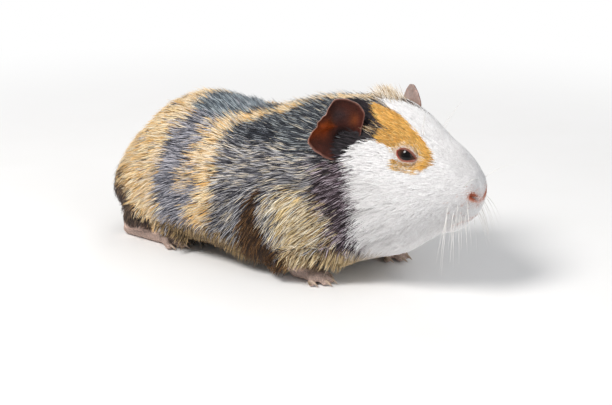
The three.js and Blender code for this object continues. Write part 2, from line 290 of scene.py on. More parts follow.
TOES = {"fore": 4, "hind": 3}
PAWS = {
    "fore": {"ball": 12.4, "sole": (4.9, 4.3), "toe": (2.4, 1.8), "arch": 1.5, "limb": (-9, -1, 19, 8.5)},
    "hind": {"ball": 18.0, "sole": (3.7, 4.5), "toe": (2.8, 2.0), "arch": 1.6, "limb": (15, 1, 20, 8.5)},
}


def claw_points(limb_name, hand):
    """Root and tip of each claw of a foot."""
    ends = []
    for number in range(1, TOES[limb_name] + 1):
        low, high = box_mm(f"{limb_name}foot_{hand}_claw_{number}")
        middle = (low + high) / 2
        ends.append((np.array([low[0], middle[1], middle[2]]), np.array([high[0], middle[1], low[2]])))
    return ends


def paw_shapes(limb_name, side):
    """The sole, the bent toes and the shank of one foot."""
    paw = PAWS[limb_name]
    low, high = box_mm(f"{limb_name}foot_{HAND[side]}")
    middle = (low[1] + high[1]) / 2
    heel = np.array([low[0] + paw["sole"][0], middle, paw["sole"][0]])
    ball = np.array([high[0] - paw["ball"], middle, paw["sole"][1] - 0.3])
    reach, outward, height, radius = paw["limb"]
    shank = heel + (reach, outward * side, height - heel[2])
    shapes = [limb(heel, ball, *paw["sole"]), limb(shank, heel, radius, paw["sole"][0])]
    for root, _ in claw_points(limb_name, HAND[side]):
        knuckle = ball * 0.45 + root * 0.55
        knuckle[2] = paw["toe"][0] + paw["arch"]
        tip = np.array([root[0] - 0.6, root[1], paw["toe"][1] + 0.05])
        shapes.append(limb(ball, knuckle, paw["toe"][0] + 0.5, paw["toe"][0]))
        shapes.append(limb(knuckle, tip, *paw["toe"]))
    return shapes


sockets = [limb(EYES[side] - np.array(GAZE) * (3, 3 * side, 3), EYES[side], 6.5, BALL_RADIUS + 1.0)
           for side in (RIGHT, LEFT)]
body, body_faces = melted([flesh_arrays(node) for node in FLESH] + sockets, BODY_VOXEL)
body = relaxed(body, body_faces, BODY_ROUNDS)
body -= normals_of(body, body_faces) * (coat_depth(body) + OVERLAP)[:, None]
body = relaxed(body, body_faces, SHRUNK_ROUNDS)
paws = [shape for name in PAWS for side in (RIGHT, LEFT) for shape in paw_shapes(name, side)]
skin, skin_faces = melted([(body, split(body_faces)), *paws], SKIN_VOXEL)
skin = relaxed(skin, skin_faces, SKIN_ROUNDS)


def refined(points, faces, wanted):
    """Splits the faces that wanted(middles) picks in four, and makes the rest triangles."""
    picked = np.flatnonzero(wanted(points[faces].mean(axis=1)))
    mesh = bpy.data.meshes.new("refined")
    mesh.from_pydata(points.tolist(), [], faces.tolist())

    def cut(shape):
        edges = {edge for number in picked for edge in shape.faces[number].edges}
        bmesh.ops.subdivide_edges(shape, edges=list(edges), cuts=1, use_grid_fill=True)

    points, triangles = reworked(mesh, cut)
    bpy.data.meshes.remove(mesh)
    return points * MM, triangles       # this mesh was in millimetres already


def near_features(middles):
    """The muzzle and the surroundings of the eyes."""
    near = (middles[:, 0] > MUZZLE_FROM) & (middles[:, 2] > 34)
    for eye in EYES.values():
        near |= distance_from(middles, eye) < EYE_REACH
    return near


def nose_front(middles):
    return (middles[:, 0] > NOSE_FROM) & (middles[:, 2] > 38) & (middles[:, 2] < 66)


skin, skin_faces = refined(skin, skin_faces, near_features)
skin, skin_faces = refined(skin, skin_faces, nose_front)
skin = relaxed(skin, skin_faces, FACE_ROUNDS)

NOSTRIL = [(121.6, 1.9, 55.6), (120.9, 4.6, 57.2), (119.2, 7.4, 58.8)]
CLEFT = [(123.0, 0.0, 57.0), (121.5, 0.0, 52.0), (118.5, 0.0, 46.5)]
MOUTH = [(118.5, 0.0, 45.4), (116.6, 3.2, 44.7), (113.8, 6.2, 43.4), (111.2, 8.4, 42.2)]
OPENING = {"length": 9.7, "upper": 2.35, "lower": 2.45, "fullest": 0.42, "set_back": 0.2}
LIDS_TO, DRAPED_TO = 5.4, 8.6       # how far off the gaze the skin lies on the ball, and bends towards it


def tube(points, bends):
    """Distance in radii from a bent tube of changing radius: under 1 is inside."""
    bends = np.array(bends, float)
    nearest = np.full(len(points), np.inf)
    for start, end in zip(bends[:-1], bends[1:]):
        along = end[:3] - start[:3]
        share = np.clip((points - start[:3]) @ along / (along @ along), 0, 1)
        gap = distance_from(points, start[:3] + share[:, None] * along)
        nearest = np.minimum(nearest, gap / mixed(start[3], end[3], share))
    return nearest


def distance_to_line(points, line, side=LEFT):
    """Distance from points to a bent line given for the left side."""
    return tube(points, [(x, y * side, z, 1) for x, y, z in line])


def eye_axes(side):
    """The gaze, the line from rear to front corner, and the upward line of an eye."""
    gaze = unit(np.array(GAZE) * (1, side, 1))
    forward = np.array((0.86, -0.31 * side, -0.30))
    forward = unit(forward - gaze * (forward @ gaze))
    return gaze, forward, np.cross(gaze, forward) * -side


def from_eye(points, side):
    """Places of points from the eye: out along the gaze, along the opening, up, and off the axis."""
    offset = points - EYES[side]
    outward, along, above = (offset @ axis for axis in eye_axes(side))
    return outward, along, above, np.hypot(along, above)


def rim_gap(along, above):
    """How far a place of the eye's plane lies outside the almond rim of the lids."""
    half = OPENING["length"] / 2
    tall = np.where(above > 0, OPENING["upper"], OPENING["lower"]) * 1.05
    radius = np.hypot((along + OPENING["set_back"]) / half, above / tall) + 1e-6
    return np.hypot(along + OPENING["set_back"], above) * (1 - 1 / radius)


def over_ball(off_axis, lift):
    """How far out skin lies that is raised over the eyeball, and falls away beyond its edge."""
    ball = np.sqrt(np.maximum(BALL_RADIUS ** 2 - off_axis ** 2, 0))
    return np.maximum(ball, 0.46 * BALL_RADIUS) + lift - 0.25 * np.maximum(off_axis - LIDS_TO, 0)


skin_normals = normals_of(skin, skin_faces)
rise = -0.75 * smooth_step(skin[:, 0], 117, 122)
for side in (RIGHT, LEFT):
    nostril = distance_to_line(skin, NOSTRIL, side)
    rise += 0.4 * hump(nostril - 1.9, 0.9) - 1.6 * hump(nostril, 0.75)
    mouth = distance_to_line(skin, MOUTH, side)
    rise += (0.3 * hump(mouth - 1.8, 1.2) - 1.1 * hump(mouth, 0.7)) * smooth_step(skin[:, 0], 104, 110)
rise -= 0.8 * hump(distance_to_line(skin, CLEFT), 0.7)
skin += skin_normals * rise[:, None]
for side in (RIGHT, LEFT):
    outward, along, above, off_axis = from_eye(skin, side)
    level = mixed(outward, over_ball(off_axis, 0.35), 1 - smooth_step(off_axis, LIDS_TO, DRAPED_TO))
    level -= 1.6 * (1 - smooth_step(rim_gap(along, above), -0.3, 0.7)) * (off_axis < BALL_RADIUS)
    moved = np.where((outward > 0) & (off_axis < DRAPED_TO), level - outward, 0)
    skin += moved[:, None] * eye_axes(side)[0]
skin_normals = normals_of(skin, skin_faces)
skin_tree = BVHTree.FromPolygons(skin.tolist(), skin_faces.tolist())


# ------------------------------------------------------------------ markings
# The coat is tricolour: a white face and blaze, a ginger patch over each eye, black round the
# ears, a dark lilac collar, and bands of tan and slate over brindled sides with a cream shoulder.
# Skin and hair take their colour from this one description, so they always agree.

# Each palette is a list of shades with their weights: a lock takes one shade, and skin their mean.
WHITE = [(6, "#F3F1F1"), (3, "#ECE9EA"), (1, "#F8F6F5")]
WISP = [(40, "#E6DEE6"), (30, "#B7A4B4"), (30, "#6A5461")]
# its pale grey locks partly stand for glints on the black hair: painted highlights among real grey and cream
# hairs
BRINDLE_AND_GLINTS = [(34, "#34333A"), (24, "#6C6B73"), (28, "#B7B5B7"), (14, "#D9CCB8")]
# its pale grey locks partly stand for glints on the dark hair: painted highlights
DUSK_AND_GLINTS = [(52, "#2F3138"), (24, "#555A61"), (18, "#A3A9AB"), (6, "#CFC6B4")]
SLATE = [(32, "#44454E"), (30, "#7C7D87"), (38, "#BAB7BE")]
SADDLE = [(40, "#454B53"), (36, "#717C84"), (24, "#A3ADB2")]
TAN = [(32, "#DBAE70"), (38, "#E8CA9B"), (30, "#F0E0C4")]
PEACH = [(45, "#E8CFAC"), (30, "#DDB783"), (25, "#F0E2CD")]
GINGER = [(50, "#DEA54F"), (32, "#E7B96F"), (18, "#D09241")]
BLACK = [(70, "#1E1A1E"), (30, "#393237")]
INK = [(56, "#22242B"), (26, "#464A53"), (18, "#8D9196")]
# its pink-lilac locks partly stand for sheen on the dark brown hair: painted highlights
COLLAR_AND_SHEEN = [(50, "#261D22"), (24, "#4F4148"), (17, "#93838C"), (9, "#CFC0CA")]
CREAM = [(34, "#E6D8BC"), (26, "#D3B884"), (14, "#F3EBDD"), (16, "#8A7050"), (10, "#3F3531")]
BLOND = [(50, "#C7AE83"), (30, "#8A7153"), (20, "#E0CFAF")]
BROWN = [(46, "#48311E"), (34, "#2B1D15"), (20, "#7C5935")]
BELLY = [(45, "#8B7454"), (30, "#5C4A37"), (25, "#B79B70")]
SEAT = [(45, "#4E3D35"), (35, "#2A2120"), (20, "#7B6552")]
# the white of the throat, greyed with painted shade
SHADED_THROAT = [(50, "#CFC5BC"), (30, "#E2DCD6"), (20, "#A99C90")]
PALE_RING = [(50, "#E9D3B4"), (50, "#DDBE94")]
BLUSH, NOSE, SOLE, RIM = [(1, "#DDC4BE")], [(1, "#B05D41")], [(1, "#E3C5B7")], [(1, "#DCCBC4")]

# Tubes through the markings of the right side: x, distance from the middle, z and radius of each
# bend. Edges are pairs of height and x, and the blaze is x and its half width.
PATCH = [(61.5, 11.5, 99.3, 2.2), (69, 14, 96.5, 4.4), (76.5, 15.8, 92.5, 6.4), (84.5, 17.5, 86, 7.8),
         (91.2, 18.5, 78.3, 9.0)]
PATCH_REAR = [(84.5, 18.5, 84.5, 8.0), (74.5, 21.5, 86.2, 4.2)]
PATCH_UNDER = [(92, 20, 74.7, 5.9), (84, 24.6, 73.4, 3.3)]
LEFT_BROW = [(62, 1.2, 99.5, 3.0), (70, 3.8, 97, 3.8), (78, 6.0, 93, 3.8), (86, 7.4, 87.5, 2.4)]
EAR_PATCH = [(44, 9, 98.5, 3.5), (56, 15, 96.5, 6.5), (66, 20, 90.5, 8.0), (65, 25, 84, 7.0),
             (57, 29, 81, 10.0), (50, 31, 77, 7.5)]
STRIPE = [(8, 10, 91.5, 5.0), (-11, 12, 87.5, 6.0), (-23, 16.5, 83.5, 7.0), (-31, 26, 79, 8.0),
          (-33, 33, 72, 8.4), (-33, 38, 66, 8.6), (-34, 41.5, 59, 9.2), (-29, 45.5, 51, 7.4),
          (-26, 47.5, 44, 5.6), (-28, 48, 37, 7.0), (-31, 48, 28, 9.5)]
STREAK = [(0, 10, 89, 1.6), (-10, 12, 86.5, 2.4), (-19, 16, 82.5, 1.8)]
THUMB = [(-18, 27, 77, 5.5), (-4, 28, 78, 7.0), (6, 30, 78, 5.0)]
ELBOW = [(8, 43, 50, 2.5), (3.5, 45, 37, 5.0), (3, 46, 27, 8.5), (8, 45, 15, 13.0), (16, 42, 6, 13.0)]
NECK_TOP = [(-8, 0, 88, 4.5), (22, 0, 96, 5.0), (45, 0, 99.5, 4.5), (60, 0, 101, 7.5), (70, 0, 100, 9.5)]
REAR_EDGE = [(10, -62), (40, -65), (54, -63), (66, -59.5), (78, -56), (90, -61)]
FACE_EDGE = [(20, 67), (25, 61.5), (32, 60.5), (42, 62.5), (49, 64.5), (55, 60), (61, 59), (66, 59.5),
             (71, 57), (78, 57.5), (82, 62), (86, 76), (92, 92)]
BLAZE = [(60, 4.0), (66, 7.5), (76, 10.8), (96, 10.2), (104, 30)]


def srgb(code):
    return np.array([int(code[n:n + 2], 16) / 255 for n in (1, 3, 5)])


def linear(colour):
    colour = np.asarray(colour, float)
    return np.where(colour <= 0.04045, colour / 12.92, ((colour + 0.055) / 1.055) ** 2.4)


def waves(points, size, seed):
    """A smooth irregular pattern from about -1 to 1 whose features are about that size."""
    luck = np.random.default_rng(seed)
    total = np.zeros(len(points))
    for _ in range(7):
        direction = luck.normal(size=3)
        direction *= luck.uniform(0.6, 1.5) * np.pi / size / np.linalg.norm(direction)
        total += np.sin(points @ direction + luck.uniform(0, 2 * np.pi))
    return total / 3.2


def on_foot(points, higher=0.0):
    """How far a place belongs to the nearly bare feet, below the hem of the coat, from 0 to 1."""
    share = np.zeros(len(points))
    for name in FEET:
        low, high = box_mm(name)
        beyond = np.maximum(low[:2] - points[:, :2], points[:, :2] - high[:2]).max(axis=1)
        level = points[:, 2] - high[2] - higher
        here = (1 - smooth_step(beyond, 1, 2 + higher / 2)) * (1 - smooth_step(level, -4.5 - higher, -0.5))
        share = np.maximum(share, here)
    return share


def coat_colour(points, luck=None):
    """The coat's colour at points, with the painted shade and highlights that some palettes hold. luck gives
    each lock two even numbers from 0 to 1.
    """
    ragged = 1.6 * waves(points, 8, 3) + 0.8 * waves(points, 3.5, 4)
    # the left side mirrors the right one, with its bands shifted and its ginger patch further out
    places = points * (1, 0, 1) + np.abs(points[:, 1])[:, None] * (0, 1, 0)
    shifted = (points[:, 1] > 0) * (points[:, 0] < 40)
    places[:, 0] += shifted * 5.0 * np.sin(points[:, 2] / 17 + 0.8)
    places[:, 1] -= 3.5 * smooth_step(points[:, 1], 3, 9) * smooth_step(points[:, 0], 62, 74)
    x, out, z = places.T
    colour = np.zeros((len(points), 3))

    def paint(share, palette):
        weights = np.array([weight for weight, _ in palette], float)
        shades = np.array([srgb(code) for _, code in palette])
        if luck is None:
            colour[:] = mixed(colour, weights @ shades / weights.sum(), np.clip(share, 0, 1)[:, None])
            return
        picked = np.searchsorted(np.cumsum(weights) / weights.sum(), luck[:, 1])
        chosen = share > luck[:, 0]
        colour[chosen] = shades[np.minimum(picked, len(palette) - 1)][chosen]

    def inside(value, edge):
        return np.clip(0.5 - value / (2 * edge), 0, 1)

    def paint_tube(line, palette, wander, edge, share=1.0):
        paint(inside(tube(places, line) - 1 + wander * ragged, edge) * share, palette)

    paint(np.full(len(points), 2.0), BRINDLE_AND_GLINTS)       # everywhere
    paint(inside(72 - z + ragged, 7) * inside(x - 62, 4), DUSK_AND_GLINTS)
    paint_tube(THUMB, INK, 0.1, 0.5)
    # bands, from the rump forward
    paint(inside(x + 26 + ragged, 6), SLATE)
    paint(hump(np.hypot(x + 44, (z - 50) / 1.4), 6.5) * 0.8, PEACH)
    paint(inside(79 - z, 3) * inside(out - 24, 4) * inside(x + 24, 5), SADDLE)
    stripe = tube(places, STRIPE)
    paint(inside(stripe - 1 + 0.1 * ragged, 0.42), TAN)
    paint(inside(stripe - 0.75, 0.3) * hump(z - 60, 9), PEACH)
    paint_tube(STREAK, SLATE, 0, 0.4)
    rear = x - curve(REAR_EDGE, z) + ragged
    paint(inside(rear, 5.5), TAN)
    paint(inside(rear, 4) * hump(rear + 4, 6) * 0.7, PEACH)
    mottle = smooth_step(waves(places * (1, 1, 0.45), 6, 5), 0.25, 1.1) * inside(x + 20, 5)
    paint(mottle * inside(25 - z, 6) * inside(-98 - x, 8) * 0.5, SLATE)
    left_rump = distance_from(points / (19, 20, 20), np.array((-96, 30, 60)) / (19, 20, 20))
    paint(inside(left_rump - 1 + 0.1 * ragged, 0.4), SLATE)
    seat = z - 34 + 1.32 * np.maximum(x + 90, 0) - 0.25 * np.maximum(-x - 90, 0)
    seat += 8 * waves(points, 34, 8) * smooth_step(points[:, 1], -25, 5)
    paint(inside(seat - 5 + 2 * ragged, 9) * inside(x + 62, 8) * 0.6, BELLY)
    paint(inside(seat + 2 * ragged, 9) * inside(x + 62, 8), SEAT)
    paint(inside(z - 19 + ragged, 5) * inside(np.abs(x + 26) - 38, 8), BELLY)
    # breast, shoulder and elbow
    paint(inside(38 + 2 * np.sin(z / 9) - x - ragged, 5) * inside(z - 74, 8), COLLAR_AND_SHEEN)
    shoulder = np.hypot((x - 30 - 0.15 * (33 - z)) / 18, (z - 33) / 18.5)
    paint(inside(shoulder - 1 + 0.08 * ragged, 0.45), CREAM)
    paint(inside(shoulder - 0.9, 0.3) * inside(30 - x, 5) * inside(z - 32, 6) * 0.6, BLOND)
    paint(inside(z - 20, 5) * inside(20 - x, 6), BLOND)
    paint_tube(ELBOW, BROWN, 0.1, 0.3)
    paint_tube(NECK_TOP, PEACH, 0.12, 0.35, 0.8)
    # head
    paint_tube(EAR_PATCH, BLACK, 0.05, 0.2)
    # painted shade: the white throat under the chin, greyed
    paint(inside(z - 25, 4) * inside(60 - x, 5), SHADED_THROAT)
    cheek_edge = curve(FACE_EDGE, z) - x - 0.6 * ragged
    paint(inside(cheek_edge - 2.5, 3.5) * (z < 76) * 0.6, WISP)
    paint(inside(cheek_edge, 4.2) * (z < 84), WHITE)
    paint(inside(out - curve(BLAZE, x) - 0.2 * ragged, 1.3) * (z > 80) * (x > 58), WHITE)
    paint(inside(80 - x, 2), WHITE)
    paint(inside(tube(points, LEFT_BROW) - 1 + 0.06 * ragged, 0.35) * 0.9, BROWN)
    for line, share in ((PATCH_UNDER, 0.92), (PATCH, 1), (PATCH_REAR, 1)):
        paint_tube(line, GINGER, 0.04, 0.15, share)
    paint(inside(tube(places, PATCH_UNDER) - 1, 0.3) * inside(z - 75, 5) * inside(x - 92, 5) * 0.55, PEACH)
    pad = hump(distance_from(places, (113, 12, 51)), 7)
    paint(pad * smooth_step(waves(places, 1.7, 6), 0.5, 1.1) * 0.5, BLUSH)
    # the paler ring of the lids, the blush of nose and lips, and the feet
    for side in (RIGHT, LEFT):
        outward, along, above, _ = from_eye(points, side)
        near = rim_gap(along, above)
        paint(inside(near - 3.6, 1.8) * (outward > 0) * inside(-1 - above, 3) * 0.8, PALE_RING)
        paint(inside(near - 2.0, 1.2) * (outward > 0) * 0.85, RIM)
        nostril = distance_to_line(points, NOSTRIL, side)
        paint(inside(nostril - 4.0, 2.6) * 0.5, BLUSH)
        paint(inside(nostril - 1.3 - 0.8 * smooth_step(out, 2.5, 6), 0.9), NOSE)
        lips = distance_to_line(points, MOUTH, side)
        paint(inside(lips - 1.2, 1.2) * 0.6, BLUSH)
    paint(on_foot(points), SOLE)
    return colour


def add_node(tree, kind, settings=None, inputs=None):
    """Adds a node, sets its properties, and fills or links its inputs."""
    made = tree.nodes.new(kind)
    for name, value in (settings or {}).items():
        setattr(made, name, value)
    for name, value in (inputs or {}).items():
        if isinstance(value, bpy.types.NodeSocket):
            tree.links.new(value, made.inputs[name])
        else:
            made.inputs[name].default_value = value
    return made


def patterned(name, grain, tones, detail=3.0, spread=(0.3, 0.7), rough=0.5, attribute=None):
    """A new material with an irregular pattern whose features are about grain millimetres.

    It runs between two colours, or makes a stored colour darker and lighter by two factors.
    """
    material = bpy.data.materials.new(name)
    material.use_nodes = True
    tree = material.node_tree
    tree.nodes.clear()
    place = add_node(tree, "ShaderNodeTexCoord")
    pattern = add_node(tree, "ShaderNodeTexNoise", {}, {
        "Vector": place.outputs["Object"], "Scale": 1 / (grain * MM), "Detail": detail, "Roughness": rough})
    if attribute is None:
        ramp = add_node(tree, "ShaderNodeValToRGB", {}, {"Fac": pattern.outputs["Fac"]})
        for stop, code in zip(ramp.color_ramp.elements, tones):
            stop.color = (*linear(srgb(code)), 1)
        return material, tree, place, pattern, ramp.outputs["Color"]
    tint = add_node(tree, "ShaderNodeAttribute", {"attribute_name": attribute})
    tone = add_node(tree, "ShaderNodeMapRange", {}, {
        "Value": pattern.outputs["Fac"], "From Min": spread[0], "From Max": spread[1],
        "To Min": tones[0], "To Max": tones[1]})
    shade = add_node(tree, "ShaderNodeMix", {"data_type": "RGBA", "blend_type": "MULTIPLY"}, {
        "Factor": 1.0, "A": tint.outputs["Color"], "B": tone.outputs["Result"]})
    return material, tree, place, pattern, shade.outputs["Result"]


def finished(material, colour, gloss, height=None, raised=None):
    """Ends a material in a shader of that colour and gloss, with a relief where height is given."""
    inputs = {"Base Color": colour, **gloss}
    if height is not None:
        bump = {"Height": height, "Strength": raised[0], "Distance": raised[1] * MM}
        inputs["Normal"] = add_node(material.node_tree, "ShaderNodeBump", {}, bump).outputs["Normal"]
    shader = add_node(material.node_tree, "ShaderNodeBsdfPrincipled", {}, inputs)
    add_node(material.node_tree, "ShaderNodeOutputMaterial", {}, {"Surface": shader.outputs["BSDF"]})
    return material


def store_colour(obj, name, colours):
    attribute = obj.data.attributes.new(name, "FLOAT_COLOR", "POINT")
    values = np.ones((len(colours), 4), np.float32)
    values[:, :3] = linear(colours)
    attribute.data.foreach_set("color", values.ravel())


def skin_material():
    """Thin dry skin, pale under white hair and dark under dark hair, with painted shade where the coat over
    it is deep, and fine creases.

    The stubble between the locks is too fine to show, so its bump is about ten times as coarse.
    """
    material, tree, place, _, colour = patterned(
        "furred_skin", 1.6, (0.78, 1.06), detail=5.0, rough=0.6, attribute="marking_and_shade")
    stubble = add_node(tree, "ShaderNodeTexNoise", {}, {
        "Vector": place.outputs["Object"], "Scale": 1 / (0.5 * MM), "Detail": 3.0})
    return finished(material, colour, {"Roughness": 0.62, "IOR": 1.4}, stubble.outputs["Fac"], (0.35, 0.25))


skin_object = mesh_object("skin", skin, skin_faces)
skin_tint = coat_colour(skin)
# painted shade: the skin darkens where the coat over it is deep, most under dark hair
shade_under_coat = 1 - (0.5 - 0.35 * skin_tint.mean(axis=1)) * smooth_step(coat_depth(skin), 0.6, 4)
store_colour(skin_object, "marking_and_shade", skin_tint * shade_under_coat[:, None])
skin_object.data.materials.append(skin_material())
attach(skin_object, "root")
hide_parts(*FLESH, *FEET)


# ------------------------------------------------------------------ the eyes
# Large dark eyes, set high on the sides of the head. Each is a wet ball with a clear domed front
# over a nearly black iris. It sits in its socket behind two thin bare lids.
CORNEA_RISE = 0.2
# each ring of a lid: how far it lies outside the opening, and how high over the ball
LID_STEPS = [(-0.2, -0.4), (-0.03, -0.02), (0.08, 0.22), (0.3, 0.38), (0.65, 0.42), (1.05, 0.36),
             (1.5, 0.1), (1.9, -0.5)]


def closed_faces(rows, columns, end=True):
    """Quads between rings, with strips across the first one, and across the last one if end is true."""
    near = np.arange(columns // 2 - 1)
    cap = np.stack([near, near + 1, columns - 2 - near, columns - 1 - near], axis=1)
    faces = [grid_faces(rows, columns), cap[:, ::-1]]
    if end:
        faces.append(cap + (rows - 1) * columns)
    return np.vstack(faces)


def eyeball(side):
    gaze, forward, upward = eye_axes(side)
    rings, sides = 28, 48
    ring = circle(forward, upward, sides)
    points = []
    for angle in np.linspace(0.02, np.pi - 0.02, rings):
        radius = BALL_RADIUS + CORNEA_RISE * smooth_step(np.cos(angle), 0.55, 1.0)
        points.extend(EYES[side] + gaze * radius * np.cos(angle) + ring * radius * np.sin(angle))
    return np.array(points), closed_faces(rings, sides)


def eye_material():
    """A wet cornea over a very dark brown iris and a black pupil.

    The fibres of a real iris are too fine to show, so they are drawn several times as coarse.
    """
    material, *_, colour = patterned(
        "wet_cornea_over_dark_iris", 0.6, (0.6, 1.3), detail=4.0, attribute="iris")
    return finished(material, colour, {"Roughness": 0.04, "IOR": 1.34})


def eyelids(side):
    """A thin ring of skin round the almond opening, with the place of each point round the eye."""
    gaze, forward, upward = eye_axes(side)
    turn = np.linspace(0, 2 * np.pi, 96, endpoint=False)
    share = 0.5 + 0.5 * np.cos(turn)
    bow = np.sin(np.pi * share ** (np.log(0.5) / np.log(OPENING["fullest"])))
    above = bow * np.where(np.sin(turn) > 0, OPENING["upper"], -OPENING["lower"])
    rim = np.stack([(share - 0.5) * OPENING["length"] - OPENING["set_back"], above], axis=1)
    outward = unit(rim / (OPENING["length"] / 2, 2.6))
    points, place = [], []
    for away, lift in LID_STEPS:
        spot = rim + outward * (away * (1 + 0.5 * np.maximum(np.cos(turn), 0) ** 6))[:, None]
        from_axis = np.linalg.norm(spot, axis=1)
        heavy = 0.2 * np.maximum(np.sin(turn), 0) * (0 < away < 1.5)
        level = over_ball(from_axis, lift + heavy)
        points.extend(EYES[side] + np.outer(level, gaze) + np.outer(spot[:, 0], forward)
                      + np.outer(spot[:, 1], upward))
        place.extend(zip(np.full(len(turn), away), np.cos(turn), np.sin(turn)))
    ring_faces = grid_faces(len(LID_STEPS) + 1, len(turn)) % len(points)    # the last ring joins the first
    return np.array(points), ring_faces, np.array(place)


def layered(base, count, layers):
    """Colours for count points: a base colour under layers of (share, colour)."""
    colours = np.tile(srgb(base), (count, 1))
    for share, code in layers:
        colours = mixed(colours, srgb(code), np.clip(share, 0, 1)[:, None])
    return colours


def lid_tints(place):
    """Nearly black at the inner edge, red behind, brown-pink before, lilac pink at the tear corner."""
    away, ahead, above = place.T
    return layered("#A2604F", len(away), [
        (smooth_step(-ahead, 0.3, 0.85) * 0.9, "#8E2A1C"),
        (smooth_step(ahead, 0.6, 0.97) * smooth_step(-above, -0.25, 0.2), "#BE9290"),
        (smooth_step(above, 0.2, 0.7) * 0.7, "#6E3A2C"),
        (1 - smooth_step(away, 0.0, 0.4), "#240D0B"),
        (smooth_step(away, 0.6, 1.4) * 0.6, "#B08C7C")])


def lid_material():
    """Thin damp skin with fine wrinkles."""
    material, _, _, wrinkles, colour = patterned(
        "damp_lid_skin", 0.7, (0.8, 1.1), detail=4.0, attribute="lid")
    return finished(material, colour, {"Roughness": 0.42, "IOR": 1.4}, wrinkles.outputs["Fac"], (0.5, 0.2))


cornea, lid_skin = eye_material(), lid_material()
IRIS = [(0.0, "#55301F"), (0.62, "#55301F"), (0.86, "#3E251A"), (0.95, "#120C0B"), (1.0, "#080606")]
for side in (RIGHT, LEFT):
    points, faces = eyeball(side)
    ball = mesh_object(f"eyeball_{HAND[side]}", points, faces)
    gaze = eye_axes(side)[0]
    facing = (points - EYES[side]) @ gaze / distance_from(points, EYES[side])
    rings = [[(step, srgb(code)[n]) for step, code in IRIS] for n in range(3)]
    store_colour(ball, "iris", np.stack([curve(ring, facing) for ring in rings], axis=1))
    ball.data.materials.append(cornea)
    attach(ball, "root")
    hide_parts(f"eye_{HAND[side]}")
    points, faces, place = eyelids(side)
    lids = mesh_object(f"eyelids_{HAND[side]}", points, faces)
    store_colour(lids, "lid", lid_tints(place))
    lids.data.materials.append(lid_skin)
    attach(lids, "root")


# ------------------------------------------------------------------ the ears
# Each ear is a thin bare petal of skin over cartilage, cupped forward, with a wave in its rear
# edge, a rolled rim and a few soft folds. It is dark inside and paler along the rim.
EAR_FACE = {"turn": 55, "rise": -6}
EAR_CENTRE = {RIGHT: (54.06, -31.54, 87.8), LEFT: (58.06, 31.54, 84.5)}
EAR = {"radius": 16.6, "cup": 5.5, "curl": 3.0, "thickness": 1.6, "rings": 30, "sides": 120}
EAR_DENTS = [(6.0, 35, 42), (5.0, 195, 40)]     # depth, and the angle and width of each flat in the outline


def from_angle(angle, degrees):
    return (np.degrees(angle) - degrees + 180) % 360 - 180


def ear_shape(side):
    """Front and back sheets of an ear with, for each point, its share of the radius and its angle."""
    turn, tip_up = np.radians(EAR_FACE["turn"]), np.radians(EAR_FACE["rise"])
    face = np.array((np.cos(turn) * np.cos(tip_up), side * np.sin(turn) * np.cos(tip_up), np.sin(tip_up)))
    outward = unit(np.array((-face[1] * side, face[0] * side, 0)))
    upward = np.cross(face, outward) * side
    share, angle = np.meshgrid(np.linspace(0.01, 1, EAR["rings"]),
                               np.linspace(0, 2 * np.pi, EAR["sides"], endpoint=False), indexing="ij")
    radius = np.full_like(angle, EAR["radius"])
    for depth, degrees, width in EAR_DENTS:
        radius -= depth * np.exp(-(from_angle(angle, degrees) / width) ** 4)
    nibbled = 0.45 * np.sin(7 * angle + 1.1 * side) + 0.25 * np.sin(17 * angle + 2)
    radius = share * (radius + nibbled * (0.35 + 0.75 * hump(from_angle(angle, 10), 60)))
    cup = EAR["cup"] * (share ** 2 - 1) - EAR["curl"] * share ** 3 * np.maximum(np.sin(angle), 0)
    cup += 0.8 * smooth_step(share, 0.88, 1.0) * (0.5 + 0.5 * np.cos(angle - 0.7))
    folds = 1.9 * hump(from_angle(angle, -8 + 40 * share), 24) * hump(share - 0.55, 0.3)
    folds -= 1.7 * hump(from_angle(angle, 250), 45) * hump(share - 0.4, 0.25)
    folds += 1.2 * hump(from_angle(angle, 120), 22) * hump(share - 0.6, 0.25)
    folds += 0.3 * share * np.sin(5 * angle + 2.2 * share) * (1 - share)
    sheets = []
    for back in (0, 1):
        thick = EAR["thickness"] * (1 - 0.55 * share ** 2)
        level = cup + folds - back * thick
        points = (np.array(EAR_CENTRE[side]) + radius[..., None] * np.cos(angle)[..., None] * outward
                  + radius[..., None] * np.sin(angle)[..., None] * upward + level[..., None] * face)
        sheets.append(points.reshape(-1, 3))
    rings, sides = EAR["rings"], EAR["sides"]
    front = closed_faces(rings, sides, end=False)
    behind = front[:, ::-1] + rings * sides
    rim = (rings - 1) * sides + np.arange(sides)
    after = (rings - 1) * sides + (np.arange(sides) + 1) % sides
    edge = np.stack([rim, after, after + rings * sides, rim + rings * sides], axis=1)
    share, angle = (np.tile(values.ravel(), 2) for values in (share, angle))
    return np.vstack(sheets), np.vstack([front, behind, edge]), share, angle


